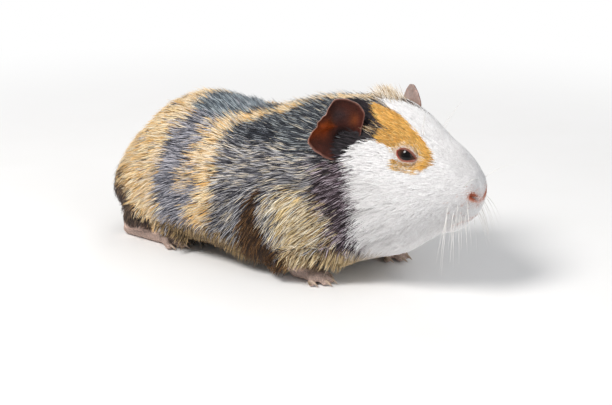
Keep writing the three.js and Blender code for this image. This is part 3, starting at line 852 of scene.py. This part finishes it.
def ear_tints_and_light(share, angle, back):
    """Red-brown at the top, plum in the hollow, the lobe orange-brown with painted light shining through it,
    pink along the rim with a painted highlight towards its rear edge, fawn behind.
    """

    def spot(degrees, width, at, reach):
        return hump(from_angle(angle, degrees), width) * hump(share - at, reach)

    return layered("#3B1811", len(share), [
        (spot(80, 60, 0.9, 0.35) * 0.8, "#35150D"),
        (spot(85, 55, 0.42, 0.25) * 0.9, "#3A2A2B"),
        # painted light: orange-brown where light shines through the thin lobe
        (spot(8, 34, 0.62, 0.42), "#8A3A05"),
        (spot(345, 30, 0.5, 0.3) * 0.9, "#702A04"),
        (spot(152, 22, 0.62, 0.18) * 0.8, "#763A18"),
        (spot(300, 38, 0.85, 0.25) * 0.8, "#3D1D16"),
        (spot(250, 50, 0.3, 0.3) * 0.9, "#160D0D"),
        # pink rim skin, with a painted highlight that grows towards the rear edge
        (smooth_step(share, 0.93, 1.0) * (0.45 + 0.55 * hump(from_angle(angle, 20), 70)), "#C39A8E"),
        (back * 0.85, "#BFABA4"),
        (back * (1 - smooth_step(share * np.sin(angle), 0.1, 0.65)) * 0.7, "#96603C")])


def ear_material():
    """Bare skin with fine veins and creases, a little waxy."""
    material, tree, place, _, colour = patterned(
        "bare_ear_skin", 6, (0.62, 1.25), detail=5.0, spread=(0.35, 0.65), rough=0.62, attribute="ear")
    creases = add_node(tree, "ShaderNodeTexVoronoi", {"feature": "DISTANCE_TO_EDGE"}, {
        "Vector": place.outputs["Object"], "Scale": 1 / (1.3 * MM)})
    gloss = {"Roughness": 0.52, "IOR": 1.42, "Specular IOR Level": 0.18, "Subsurface Weight": 0.1,
             "Subsurface Radius": (0.004, 0.0015, 0.001), "Subsurface Scale": 0.5}
    return finished(material, colour, gloss, creases.outputs["Distance"], (0.7, 0.4))


ear_skin = ear_material()
for side in (RIGHT, LEFT):
    points, faces, share, angle = ear_shape(side)
    ear = mesh_object(f"ear_skin_{HAND[side]}", points, faces)
    back = (np.arange(len(points)) >= len(points) // 2).astype(float)
    store_colour(ear, "ear", ear_tints_and_light(share, angle, back))
    ear.data.materials.append(ear_skin)
    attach(ear, "root")
    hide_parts(f"ear_{HAND[side]}")


# ------------------------------------------------------------------ the claws
# Short blunt claws of pale horn, four on each forefoot and three on each hind foot. Each grows
# out of its toe and curves down to the ground.
CLAW = {"root_radius": 0.95, "tip_radius": 0.12, "width": 0.8, "rings": 10, "sides": 12, "sunk": 1.6,
        "arch": 0.55}


def claw_shape(root, tip):
    along = unit(tip - root)
    start = root - along * CLAW["sunk"]
    across, upward = square_to(along)
    ring = circle(across * CLAW["width"], upward, CLAW["sides"])
    points = []
    for share in np.linspace(0, 1, CLAW["rings"]):
        middle = mixed(start, tip, share) + upward * CLAW["arch"] * 4 * share * (1 - share)
        points.append(middle + ring * (CLAW["root_radius"] * (1 - share ** 1.6) + CLAW["tip_radius"]))
    points += [start, tip + along * 0.15]
    return np.vstack(points), spindle_faces(CLAW["rings"], CLAW["sides"])


# translucent buff horn, smooth and dull, with faint growth streaks
horn, *_, horn_colour = patterned("claw_horn", 0.5, ("#8E7563", "#D2BCA6"))
finished(horn, horn_colour, {"Roughness": 0.35, "IOR": 1.55})
for limb_name, count in TOES.items():
    for hand in ("right", "left"):
        shapes = [claw_shape(root, tip) for root, tip in claw_points(limb_name, hand)]
        claws = mesh_object(f"claws_{limb_name}foot_{hand}", *joined(shapes))
        claws.data.materials.append(horn)
        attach(claws, "root")
        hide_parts(*[f"{limb_name}foot_{hand}_claw_{n}" for n in range(1, count + 1)])


# ------------------------------------------------------------------ the coat
# Soft straight hair of medium length, in thin locks that overlap like thatch and lie back along
# the body. It is a few millimetres long on the face and feet and about 20 mm on back and breast.
# Neighbouring locks lean together towards shared tips, which gives the coat its fine tufts.

# at each x: the hair's length above and below, and the locks to a square millimetre
LENGTH_ABOVE = [(-122, 16), (-90, 20), (-40, 20), (10, 19), (36, 16), (52, 12), (62, 8.5), (76, 7),
                (90, 5.5), (102, 4.2), (112, 2.8), (118, 1.7), (123, 1.0)]
LENGTH_BELOW = [(-122, 16), (-90, 18), (-40, 18), (10, 22), (40, 21), (60, 17), (76, 13), (90, 9),
                (102, 5.0), (112, 2.8), (118, 1.6), (123, 1.0)]
DENSITY = [(-122, 1.60), (20, 1.65), (45, 1.95), (60, 2.7), (72, 4.2), (88, 6.0), (104, 7.2), (123, 8.0)]
FOOT_DENSITY = 3.3
# a lock's width at each x: single hairs are too fine to show, so it stands for a bunch of them
WIDTH = [(-122, 0.54), (20, 0.50), (45, 0.44), (60, 0.38), (76, 0.3), (100, 0.24), (123, 0.18)]
SHORT = 5.0             # hair under this length needs only one bend
# at each height: how steeply the hair falls as it runs back over head, body and neck
FALL_HEAD = [(26, 0.85), (38, 0.66), (48, 0.5), (60, 0.28), (72, 0.12), (85, -0.08), (100, -0.1)]
FALL_BODY = [(5, 0.9), (30, 0.5), (50, 0.28), (70, 0.14), (90, 0.03)]
FALL_NECK = [(15, 1.2), (34, 0.68), (56, 0.42), (76, 0.15), (95, 0.0)]
STEPS = 3               # straight pieces in a lock's path


def hair_length(points):
    x, z = points[:, 0], points[:, 2]
    length = mixed(curve(LENGTH_BELOW, x), curve(LENGTH_ABOVE, x), smooth_step(z, 50, 74))
    for side in (RIGHT, LEFT):
        outward, along, above, _ = from_eye(points, side)
        near = np.where(outward > 0, rim_gap(along, above), 20)
        length = np.minimum(length, 0.9 + 0.55 * np.maximum(near - 0.6, 0))
        before_ear = points - EAR_CENTRE[side]
        reach = np.linalg.norm(before_ear, axis=1)
        in_front = before_ear @ np.array((0.57, 0.81 * side, -0.1)) > -4.5
        length = np.where((reach < 22) & in_front, np.minimum(length, 6.5), length)
    length = mixed(length, 5.0, on_foot(points, 12) * 0.8)
    return mixed(length, 1.3, on_foot(points))


def hair_depth(points):
    """How far the tips of the hair stand off the skin: hardly at all on the feet."""
    depth = coat_depth(points) * (1 - 0.7 * on_foot(points, 10))
    return mixed(depth, 0.35, on_foot(points))


def lie_of_coat(points, normals):
    """The way the hair lies at each place, as unit vectors along the skin."""
    x, y, z = points.T
    out = np.abs(y)
    fall = mixed(curve(FALL_BODY, z), curve(FALL_NECK, z), smooth_step(x, 22, 42))
    fall = mixed(fall, curve(FALL_HEAD, z), smooth_step(x, 54, 68))
    # steeper over the rump, behind the elbow and on the shoulder; spread sideways on the muzzle
    fall += 1.0 * smooth_step(-x, 78, 112) + 0.35 * smooth_step(-x, 50, 80)
    fall += 2.6 * hump(np.hypot(x - 6, (z - 22) * 0.8), 15) + 0.7 * hump(np.hypot(x - 22, z - 38), 12)
    lie = np.stack([-np.ones_like(x), np.zeros_like(x), -fall], axis=1)
    lie[:, 1] += np.sign(y) * (0.25 * smooth_step(x, 96, 114) * (1 - smooth_step(x, 121, 124)))
    lie[:, 2] -= 0.55 * smooth_step(x, 104, 114) * smooth_step(-z, -56, -46)
    for axis, strength in ((1, 0.12), (2, 0.16)):
        lie[:, axis] += strength * waves(points, 13, 10 + axis) * smooth_step(-x, -96, -60)
    for eye in EYES.values():
        near = hump(distance_from(points, eye) - 6, 4)
        lie += unit(points - eye) * (0.8 * near)[:, None]
    # straight down round the tops of the legs, and forward on the feet
    hem = (1 - smooth_step(z, 17, 27)) * smooth_step(out, 14, 22) * (1 - smooth_step(x, 62, 72))
    down = np.stack([np.full_like(x, -0.45), 0.1 * np.sign(y), np.full_like(x, -1.0)], axis=1)
    lie = mixed(lie, down, (0.85 * hem)[:, None])
    lie = mixed(lie, np.array((1.0, 0.0, -0.6)), on_foot(points)[:, None])
    lie -= normals * (lie * normals).sum(axis=1)[:, None]
    return unit(lie)


def on_skin(points):
    """The nearest places on the skin, and the skin's smooth normals there."""
    places = np.empty_like(points)
    numbers = np.empty(len(points), int)
    for n, point in enumerate(points.tolist()):
        place, _, numbers[n], _ = skin_tree.find_nearest(point)
        places[n] = place
    corners = skin_faces[numbers]
    away = np.linalg.norm(skin[corners] - places[:, None], axis=2)
    normals = (skin_normals[corners] / (away + 0.1)[..., None]).sum(axis=1)
    return places, unit(normals)


def grown(roots, normals, length, lift, turn):
    """Paths of locks from root to tip: places along each one, and the skin's normals there."""
    depth = hair_depth(roots)
    path, up = [roots], [normals]
    foot = roots
    may_hang = (1 - smooth_step(-normals[:, 2], 0.1, 0.5)) * (1 - on_foot(roots, 12)) * (roots[:, 0] < 100)
    may_hang = np.maximum(may_hang, 0.4 * hump(roots[:, 0] - 70, 24) * (normals[:, 2] < 0))
    for step in range(1, STEPS + 1):
        share = step / STEPS
        lie = lie_of_coat(foot, up[-1])
        beside = np.cross(up[-1], lie)
        lie = lie * np.cos(turn)[:, None] + beside * np.sin(turn)[:, None]
        ahead = foot + lie * (length / STEPS)[:, None]
        foot, normal = on_skin(ahead)
        strayed = np.linalg.norm(foot - ahead, axis=1) / (length / STEPS)
        reach = np.minimum(hair_depth(foot), depth + 1.5) * lift * (1.35 * share - 0.35 * share ** 2)
        reach *= 1 - 0.6 * smooth_step(-normal[:, 2], 0.3, 0.9) * (foot[:, 0] < 90)
        reach = np.minimum(reach, (foot[:, 2] - 0.6) / np.maximum(-normal[:, 2], 0.05))
        laid = foot + normal * reach[:, None]
        hanging = path[-1] + unit(lie + (0, 0, -0.6)) * (length / STEPS)[:, None]
        height = ((hanging - foot) * normal).sum(axis=1)
        hanging += normal * np.maximum(0.6 * reach - height, 0)[:, None]
        free = np.maximum(smooth_step(-normal[:, 2], 0.15, 0.5), smooth_step(strayed, 0.22, 0.5)) * may_hang
        path.append(mixed(laid, hanging, free[:, None]))
        up.append(unit(mixed(normal, up[-1], free[:, None])))
    return np.stack(path, axis=1), np.stack(up, axis=1)


def scattered(weight, luck):
    """Roots spread over the skin, with weight of them to a square millimetre, and their normals."""
    corners = skin[skin_faces]
    sides = corners[:, 1:] - corners[:, :1]
    area = np.linalg.norm(np.cross(sides[:, 0], sides[:, 1]), axis=1) / 2
    chance = np.cumsum(area * weight(corners.mean(axis=1)))
    count = int(chance[-1])
    number = np.searchsorted(chance, (np.arange(count) + luck.random(count)) / count * chance[-1])
    number = np.minimum(number, len(corners) - 1)
    first, second = luck.random((2, count))
    swap = first + second > 1
    first[swap], second[swap] = 1 - first[swap], 1 - second[swap]
    roots = corners[number, 0] + first[:, None] * sides[number, 0] + second[:, None] * sides[number, 1]
    return roots, unit(skin_normals[skin_faces[number]].sum(axis=1))


def haired(points):
    """Locks to a square millimetre: none in nostrils, mouth, sockets and under the soles."""
    thick = curve(DENSITY, points[:, 0])
    thick *= 1 - 0.5 * smooth_step(-points[:, 2], -17, -11) * (np.abs(points[:, 1]) < 32)
    for side in (RIGHT, LEFT):
        thick *= smooth_step(distance_to_line(points, NOSTRIL, side), 1.0, 2.2)
        thick *= smooth_step(distance_to_line(points, MOUTH, side), 0.2, 0.9)
        outward, along, above, _ = from_eye(points, side)
        thick *= np.where(outward > 0, smooth_step(rim_gap(along, above), 0.6, 1.1), 1)
    foot = on_foot(points)
    thick = mixed(thick, FOOT_DENSITY, foot)
    return thick * np.where((foot > 0.3) & (points[:, 2] < 1.0), 0, 1)


def tuft_weight(points):
    """Tufts to a square millimetre: smaller where the hair is shorter."""
    return np.minimum(haired(points) * 0.45, 1 / (0.5 + 0.014 * hair_length(points) ** 2))


def evened(values):
    """The rank of each value, from 0 to 1."""
    return np.argsort(np.argsort(values)) / len(values)


coat_luck = np.random.default_rng(11)
roots, root_normals = scattered(haired, coat_luck)

# tufts: places that gather the tips of the locks round them
tufts, tuft_normals = scattered(tuft_weight, coat_luck)
tuft_luck = coat_luck.random((len(tufts), 4))
tuft_path, _ = grown(tufts, tuft_normals, hair_length(tufts) * (0.8 + 0.35 * tuft_luck[:, 0]),
                     0.55 + 0.5 * tuft_luck[:, 1], np.radians(24) * (tuft_luck[:, 2] - 0.5))
tuft_tree = KDTree(len(tufts))
for number, place in enumerate(tufts.tolist()):
    tuft_tree.insert(place, number)
tuft_tree.balance()
own_tuft = np.array([tuft_tree.find(place)[1] for place in roots.tolist()])

lock_luck = coat_luck.random((len(roots), 6))
guard = (lock_luck[:, 5] > 0.93) & (roots[:, 0] < 75)
lock_length = hair_length(roots) * (0.68 + 0.5 * lock_luck[:, 0]) * np.where(guard, 1.15, 1)
sleek = smooth_step(roots[:, 0], 50, 76)        # the face's hair lies closer and straighter
lock_lift = 0.5 + 0.5 * lock_luck[:, 1] + 0.1 * waves(roots, 15, 21)
lock_lift = mixed(lock_lift, 0.8 + 0.2 * lock_luck[:, 1], sleek) * np.where(guard, 1.25, 1)
path, path_up = grown(roots, root_normals, lock_length, lock_lift,
                      np.radians(26) * (1 - 0.45 * sleek) * (lock_luck[:, 2] - 0.5))
along = np.linspace(0, 1, STEPS + 1)
agree = smooth_step((root_normals * tuft_normals[own_tuft]).sum(axis=1), 0.7, 0.95)
gather = (np.where(guard, 0.15, 0.5) * agree * (1 - on_foot(roots, 10)))[:, None] * along ** 1.4
spread = (roots - tufts[own_tuft])[:, None] * (1 - 0.5 * along)[None, :, None]
path = mixed(path, tuft_path[own_tuft] + spread * 0.8, gather[..., None])
path[:, 0] = roots - root_normals * 0.3
path[..., 2] = np.maximum(path[..., 2], 0.4)
short = lock_length < SHORT

seen_at = 0.55 + 0.42 * (0.5 * lock_luck[:, 3] + 0.5 * tuft_luck[own_tuft, 3])
seen = roots + (path[:, 3] - roots) * seen_at[:, None]
draw = np.stack([evened(0.6 * lock_luck[:, 3] + 0.4 * tuft_luck[own_tuft, 0]),
                 evened(0.62 * lock_luck[:, 4] + 0.38 * tuft_luck[own_tuft, 3])], axis=1)
hair_tint = coat_colour(seen, draw)
pale = smooth_step(hair_tint.min(axis=1), 0.45, 0.85)
tone = (0.5 * lock_luck[:, 0] + 0.5 * tuft_luck[own_tuft, 2] - 0.5) * (0.42 - 0.32 * pale)
# painted shade: long faint grey streaks that fan out over the cheek from the corner of the mouth, stronger
# low on the cheek
from_mouth = np.stack([118 - roots[:, 0], roots[:, 2] - 56], axis=1)
fan = np.stack([44 * np.arctan2(from_mouth[:, 1], from_mouth[:, 0]),
                0.12 * np.linalg.norm(from_mouth, axis=1), 30 * np.sign(roots[:, 1])], axis=1)
shade_streaks = smooth_step(waves(fan, 2.3, 31), -0.2, 1.1) * smooth_step(lock_length, 5, 11)
tone -= 0.17 * pale * shade_streaks * (1 - 0.8 * smooth_step(roots[:, 2], 50, 72))
hair_tint *= (1 + tone)[:, None]
lock_width = curve(WIDTH, roots[:, 0]) * (0.75 + 0.5 * lock_luck[:, 2]) * np.where(guard, 0.55, 1)
lock_width = mixed(lock_width, 0.17, on_foot(roots))

# longer loose hair: a pale crest on the crown, and fringes before both ear openings
CREST = {"at": (64.5, 2.0, 101), "spread": (3.6, 3.0, 1.5), "count": 460, "length": 11.5,
         "heading": (-0.5, 0.0, 1.0), "width": 0.26,
         "shades": ("#EADBC4", "#D9BF98", "#F1E9DE", "#A88B6A", "#EADBC4")}
FRINGE = {"at": (73, 22, 86), "spread": (1.8, 1.2, 3.2), "count": 60, "length": 9.5,
          "heading": (-0.62, 0.22, 0.68), "width": 0.16,
          "shades": ("#D9B57C", "#E6D2B0", "#B98F58")}


def loose_hair(tuft, side):
    """Roots, paths, normals, colours and widths of hairs that stand clear of the coat."""
    count = tuft["count"]
    at = np.array(tuft["at"]) * (1, side, 1)
    places, normals = on_skin(at + coat_luck.normal(size=(count, 3)) * tuft["spread"])
    heading = unit(np.array(tuft["heading"]) * (1, side, 1) + coat_luck.normal(size=(count, 3)) * 0.16)
    reach = tuft["length"] * coat_luck.uniform(0.55, 1.1, count)
    shares = np.array([-0.03, 0.33, 0.66, 1.0])
    sag = np.array([0, 0.02, 0.09, 0.22])
    lines = places[:, None] + heading[:, None] * (reach[:, None] * shares)[..., None]
    lines -= np.array((0.6, 0, 0.8)) * (reach[:, None] * sag)[..., None]
    shades = np.array([srgb(code) for code in tuft["shades"]])
    shades = shades[coat_luck.integers(len(shades), size=count)]
    normals = np.repeat(normals[:, None], STEPS + 1, axis=1)
    return places, lines, normals, shades, np.full(count, tuft["width"]), np.zeros(count, bool)


loose = [loose_hair(CREST, LEFT), loose_hair(FRINGE, RIGHT), loose_hair(FRINGE, LEFT)]
coat_parts = [(roots, path, path_up, hair_tint, lock_width, short), *loose]
roots, path, path_up, hair_tint, lock_width, short = map(np.concatenate, zip(*coat_parts))
pale = smooth_step(hair_tint.min(axis=1), 0.45, 0.85)

SECTION = np.array([(-0.5, -0.12), (0.5, -0.12), (0.0, 0.3)])     # a lock's cross-section in widths
BAKE_PATCH = 0.003      # the size of a lock's patch on the bake map
TAPER = (1.0, 0.8)      # a lock's width at its bends
SOFTNESS = (0.5, 0.66)  # how much dark and pale locks shade as one soft surface


def lock_mesh(chosen, bends):
    """Points, normals, triangles, tints and bake places of locks pointed at both ends."""
    line, up = path[chosen][:, bends], path_up[chosen][:, bends]
    rings = len(bends) - 2
    if rings == 1:
        line[:, 1] = (path[chosen, 1] + path[chosen, 2]) / 2
    ahead = line[:, 2:] - line[:, :-2]
    beside = unit(np.cross(ahead, up[:, 1:-1]))
    lifted = unit(np.cross(beside, ahead))
    points, normals = [line[:, 0]], [up[:, 0]]
    soft = mixed(*SOFTNESS, pale[chosen])[:, None]
    for ring, width in zip(range(rings), TAPER):
        for across, above in SECTION:
            offset = beside[:, ring] * across + lifted[:, ring] * above
            points.append(line[:, ring + 1] + offset * (width * lock_width[chosen])[:, None])
            normals.append(unit(offset * (1 - soft) * 2 + up[:, ring + 1] * soft))
    points.append(line[:, -1])
    normals.append(up[:, -1])
    own = [(0, 1 + (side + 1) % 3, 1 + side) for side in range(3)]
    own += [tuple(face + 1) for face in split(grid_faces(rings, 3))]
    final = 1 + (rings - 1) * 3
    own += [(final + side, final + (side + 1) % 3, final + 3) for side in range(3)]
    size = len(points)
    triangles = (np.array(own)[None, :, ::-1] + np.arange(len(line))[:, None, None] * size).reshape(-1, 3)
    ring_depth, ring_upto = ([0.62], [0.0]) if rings == 1 else ([0.5, 0.88], [-0.17, 0.17])
    depth = np.array([0.0, *np.repeat(ring_depth, 3), 1.0])     # from root to tip
    # painted shade: each lock darkens towards its root, where the locks over it shade it, pale locks less; a
    # little painted light brightens its tip
    root_shade = (0.5 + 0.42 * pale[chosen])[:, None]
    shade = mixed(root_shade, 1.0 + 0.06 * depth, depth ** 0.8)
    tint = (hair_tint[chosen][:, None] * shade[..., None]).reshape(-1, 3)
    across = np.array([0.0] + [-0.5, 0.5, 0.0] * rings + [0.0])
    upto = np.array([-0.5, *np.repeat(ring_upto, 3), 0.5])
    return (np.stack(points, axis=1).reshape(-1, 3), np.stack(normals, axis=1).reshape(-1, 3), triangles,
            np.clip(tint, 0, 1), np.stack([across, upto], axis=1))


def skin_place(points):
    """Where points lie on the skin unrolled along the body: along it, and round it."""
    middle = np.interp(points[:, 0], [-122, -60, 40, 122], [36, 42, 48, 58])
    round_it = np.arctan2(points[:, 1], points[:, 2] - middle)
    along_it = points[:, 0] + 0.35 * (points[:, 2] - middle) * smooth_step(np.abs(points[:, 0]), 80, 118)
    return np.stack([along_it, round_it], axis=1)


# Fine keratin hair with a soft broken gloss, in colours stored from dark root to bright tip: painted shade at
# the root and a little painted light at the tip.
hair, *_, hair_colour = patterned("guinea_pig_hair", 0.8, (0.9, 1.06), attribute="hair")
finished(hair, hair_colour, {"Roughness": 0.5, "IOR": 1.55, "Specular IOR Level": 0.22})
REGIONS = [("muzzle", 94, 130, "coat_white"), ("face", 74, 94, "coat_white"), ("cheek", 57, 74, "coat_white"),
           ("neck", 30, 57, "coat_dark"), ("shoulder", -6, 30, "coat_grey"), ("flank", -46, -6, "coat_grey"),
           ("rump", -130, -46, "coat_tan")]
feet = on_foot(roots) > 0.3


def grow_coat(name, chosen):
    unrolled = skin_place(roots[chosen])
    low, high = unrolled.min(axis=0), unrolled.max(axis=0)
    shapes, normals, tints, bakes = [], [], [], []
    for few, bends in ((True, [0, 1, 3]), (False, [0, 1, 2, 3])):
        part = chosen[short[chosen] == few]
        if len(part) == 0:
            continue
        points, smooth, triangles, tint, patch = lock_mesh(part, bends)
        centre = 0.01 + 0.98 * (skin_place(roots[part]) - low) / (high - low)
        shapes.append((points, triangles))
        normals.append(smooth)
        tints.append(tint)
        bakes.append((centre[:, None] + patch[None] * BAKE_PATCH).reshape(-1, 2)[triangles.ravel()])
    points, triangles = joined(shapes)
    coat = mesh_object(name, points, triangles)
    coat.data.normals_split_custom_set_from_vertices(np.vstack(normals).astype(np.float32))
    store_colour(coat, "hair", np.vstack(tints))
    bake = coat.data.uv_layers.new(name="OFBake")
    bake.data.foreach_set("uv", np.vstack(bakes).astype(np.float32).ravel())
    coat.data.materials.append(hair)
    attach(coat, "root")


for side in (RIGHT, LEFT):
    beside = roots[:, 1] * side > 0
    for name, rear, front, slot in REGIONS:
        here = beside & (roots[:, 0] > rear) & (roots[:, 0] <= front) & ~feet
        grow_coat(f"coat_{name}_{HAND[side]}", np.flatnonzero(here))
grow_coat("coat_feet", np.flatnonzero(feet))


# ------------------------------------------------------------------ the whiskers
# Stiff pale hairs in rows on the swollen upper lip, the longest behind, with two over each eye.
# They taper to nothing and curve down under their own weight.
WHISKER_ROWS = [(56.0, 3), (52.5, 4), (49.0, 5), (46.0, 4)]     # height and number of each row
WHISKER = {"radius": 0.15, "rings": 11, "sides": 6, "longest": 30, "shortest": 15}
whisker_luck = np.random.default_rng(5)


def whisker_shape(place, heading, length, droop):
    """A bristle that starts along its heading and bends towards the ground."""
    points = []
    heading = unit(heading)
    steps = WHISKER["rings"] - 1
    for share in np.linspace(0, 1, WHISKER["rings"]):
        across, upward = square_to(heading, (0.3, 0.9, 0.1))
        radius = WHISKER["radius"] * (1 - 0.88 * share)
        points.append(place + circle(across, upward, WHISKER["sides"]) * radius)
        place = place + heading * length / steps
        heading = unit(heading + np.array((-0.01, 0, -1.0)) * droop / steps)
    return np.vstack(points), closed_faces(WHISKER["rings"], WHISKER["sides"])


def whiskers(side):
    shapes = []
    for height, count in WHISKER_ROWS:
        for n in range(count):
            share = n / (count - 1)
            guess = np.array([(117.0 - 7.0 * share, side * (8.0 + 6.0 * share), height - 1.5 * share)])
            places, normals = on_skin(guess)
            pull = whisker_luck.normal(size=3) * 0.08
            heading = normals[0] * 0.55 + (0.05 - 0.3 * share, 0.12 * side, -0.55) + pull
            length = mixed(WHISKER["shortest"], WHISKER["longest"], 0.3 + 0.7 * share)
            length *= whisker_luck.uniform(0.75, 1.05)
            shapes.append(whisker_shape(places[0] - normals[0] * 0.4, heading, length, 1.1))
    for lean in (0.0, 0.35):
        guess = np.array([(93.0 - 6 * lean, side * 11.0, 87.0)])
        places, normals = on_skin(guess)
        heading = normals[0] + (-0.1 + lean * 0.6, 0.15 * side, 0.6)
        shapes.append(whisker_shape(places[0], heading, 18 + 6 * lean, 0.2))
    places, normals = on_skin(np.array([(115.0, side * 8.5, 63.0)]))
    shapes.append(whisker_shape(places[0], normals[0] + (0.5, -0.1 * side, 0.9), 21, 0.9))
    return joined(shapes)


# pale springy bristle, glossier than the coat
bristle, *_, bristle_colour = patterned("whisker_bristle", 5, ("#D8D2CC", "#F4F2F0"), detail=2.0)
finished(bristle, bristle_colour, {"Roughness": 0.35, "IOR": 1.55})
for side in (RIGHT, LEFT):
    made = mesh_object(f"whiskers_{HAND[side]}", *whiskers(side))
    made.data.materials.append(bristle)
    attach(made, "root")


# ------------------------------------------------------------------ floor, light and camera
# A plain pale floor that turns white towards its edges, under soft studio light. The camera looks
# down a little on the animal's right side, from in front of its shoulder.
AIM = (0.5985, 0.3046, 0.3824)       # the point looked at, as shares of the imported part's box
CAMERA = {"azimuth": 37.0, "elevation": 18.0, "distance": 760.0, "angle": 24.5}
FLOOR = {"half": 4000, "white_from": 260, "white_by": 620}


def floor_material():
    """Matt pale studio floor, which fades to plain white for the camera away from the animal."""
    material, tree, place, _, colour = patterned("pale_studio_floor", 40, ("#F4F3F2", "#F7F6F6"))
    matt = add_node(tree, "ShaderNodeBsdfPrincipled", {}, {
        "Base Color": colour, "Roughness": 0.9, "Specular IOR Level": 0.1})
    away = add_node(tree, "ShaderNodeVectorMath", {"operation": "LENGTH"}, {0: place.outputs["Object"]})
    fade = add_node(tree, "ShaderNodeMapRange", {"interpolation_type": "SMOOTHSTEP"}, {
        "Value": away.outputs["Value"], "From Min": FLOOR["white_from"] * MM,
        "From Max": FLOOR["white_by"] * MM})
    seen = add_node(tree, "ShaderNodeLightPath")
    share = add_node(tree, "ShaderNodeMath", {"operation": "MULTIPLY"}, {
        0: fade.outputs["Result"], 1: seen.outputs["Is Camera Ray"]})
    white = add_node(tree, "ShaderNodeEmission", {}, {"Color": (1, 1, 1, 1), "Strength": 1.0})
    shader = add_node(tree, "ShaderNodeMixShader", {}, {
        0: share.outputs["Value"], 1: matt.outputs["BSDF"], 2: white.outputs["Emission"]})
    add_node(tree, "ShaderNodeOutputMaterial", {}, {"Surface": shader.outputs["Shader"]})
    return material


half = FLOOR["half"]
corners = [(-half, -half, 0), (half, -half, 0), (half, half, 0), (-half, half, 0)]
floor = mesh_object("floor", corners, [(0, 1, 2, 3)])
floor.data.materials.append(floor_material())

world = bpy.data.worlds.new("studio")
world.use_nodes = True
world.node_tree.nodes.clear()
seen = add_node(world.node_tree, "ShaderNodeLightPath")
plain = add_node(world.node_tree, "ShaderNodeBackground", {}, {"Color": (1, 1, 1, 1), "Strength": 1.0})
soft = add_node(world.node_tree, "ShaderNodeBackground", {}, {"Color": (0.94, 0.97, 1, 1), "Strength": 0.4})
chosen_world = add_node(world.node_tree, "ShaderNodeMixShader", {}, {
    0: seen.outputs["Is Camera Ray"], 1: soft.outputs["Background"], 2: plain.outputs["Background"]})
add_node(world.node_tree, "ShaderNodeOutputWorld", {}, {"Surface": chosen_world.outputs["Shader"]})
bpy.context.scene.world = world

LAMPS = [  # name, azimuth, elevation, distance, size, watts, tint
    ("key", -10, 50, 1100, 420, 10.2, (1.0, 0.98, 0.95)),
    ("fill", 80, 24, 1300, 900, 4.0, (0.96, 0.98, 1.0)),
    ("back", 205, 40, 1200, 700, 2.6, (1.0, 0.98, 0.96)),
]


def round_view(azimuth, elevation):
    turn, rise_by = np.radians(azimuth), np.radians(elevation)
    return Vector((np.sin(turn) * np.cos(rise_by), -np.cos(turn) * np.cos(rise_by), np.sin(rise_by)))


def look_from(obj, target, azimuth, elevation, distance):
    back = round_view(azimuth, elevation)
    obj.location = Vector(target * MM) + back * distance * MM
    obj.rotation_euler = (-back).to_track_quat("-Z", "Y").to_euler()


box_low, box_high = np.array(cad_low) / MM, np.array(cad_high) / MM
aim = box_low + (box_high - box_low) * AIM
for name, azimuth, elevation, distance, size, watts, tint in LAMPS:
    lamp = bpy.data.lights.new(name, "AREA")
    lamp.shape = "DISK"
    lamp.size = size * MM
    lamp.energy = watts
    lamp.color = tint
    holder = bpy.data.objects.new(name, lamp)
    bpy.context.scene.collection.objects.link(holder)
    look_from(holder, aim, azimuth, elevation, distance)

lens = bpy.data.cameras.new("camera")
lens.sensor_width = 36
lens.lens = lens.sensor_width / 2 / np.tan(np.radians(CAMERA["angle"]) / 2)
camera = bpy.data.objects.new("camera", lens)
bpy.context.scene.collection.objects.link(camera)
look_from(camera, aim, CAMERA["azimuth"], CAMERA["elevation"], CAMERA["distance"])
bpy.context.scene.camera = camera
bpy.context.scene.view_settings.view_transform = "Standard"
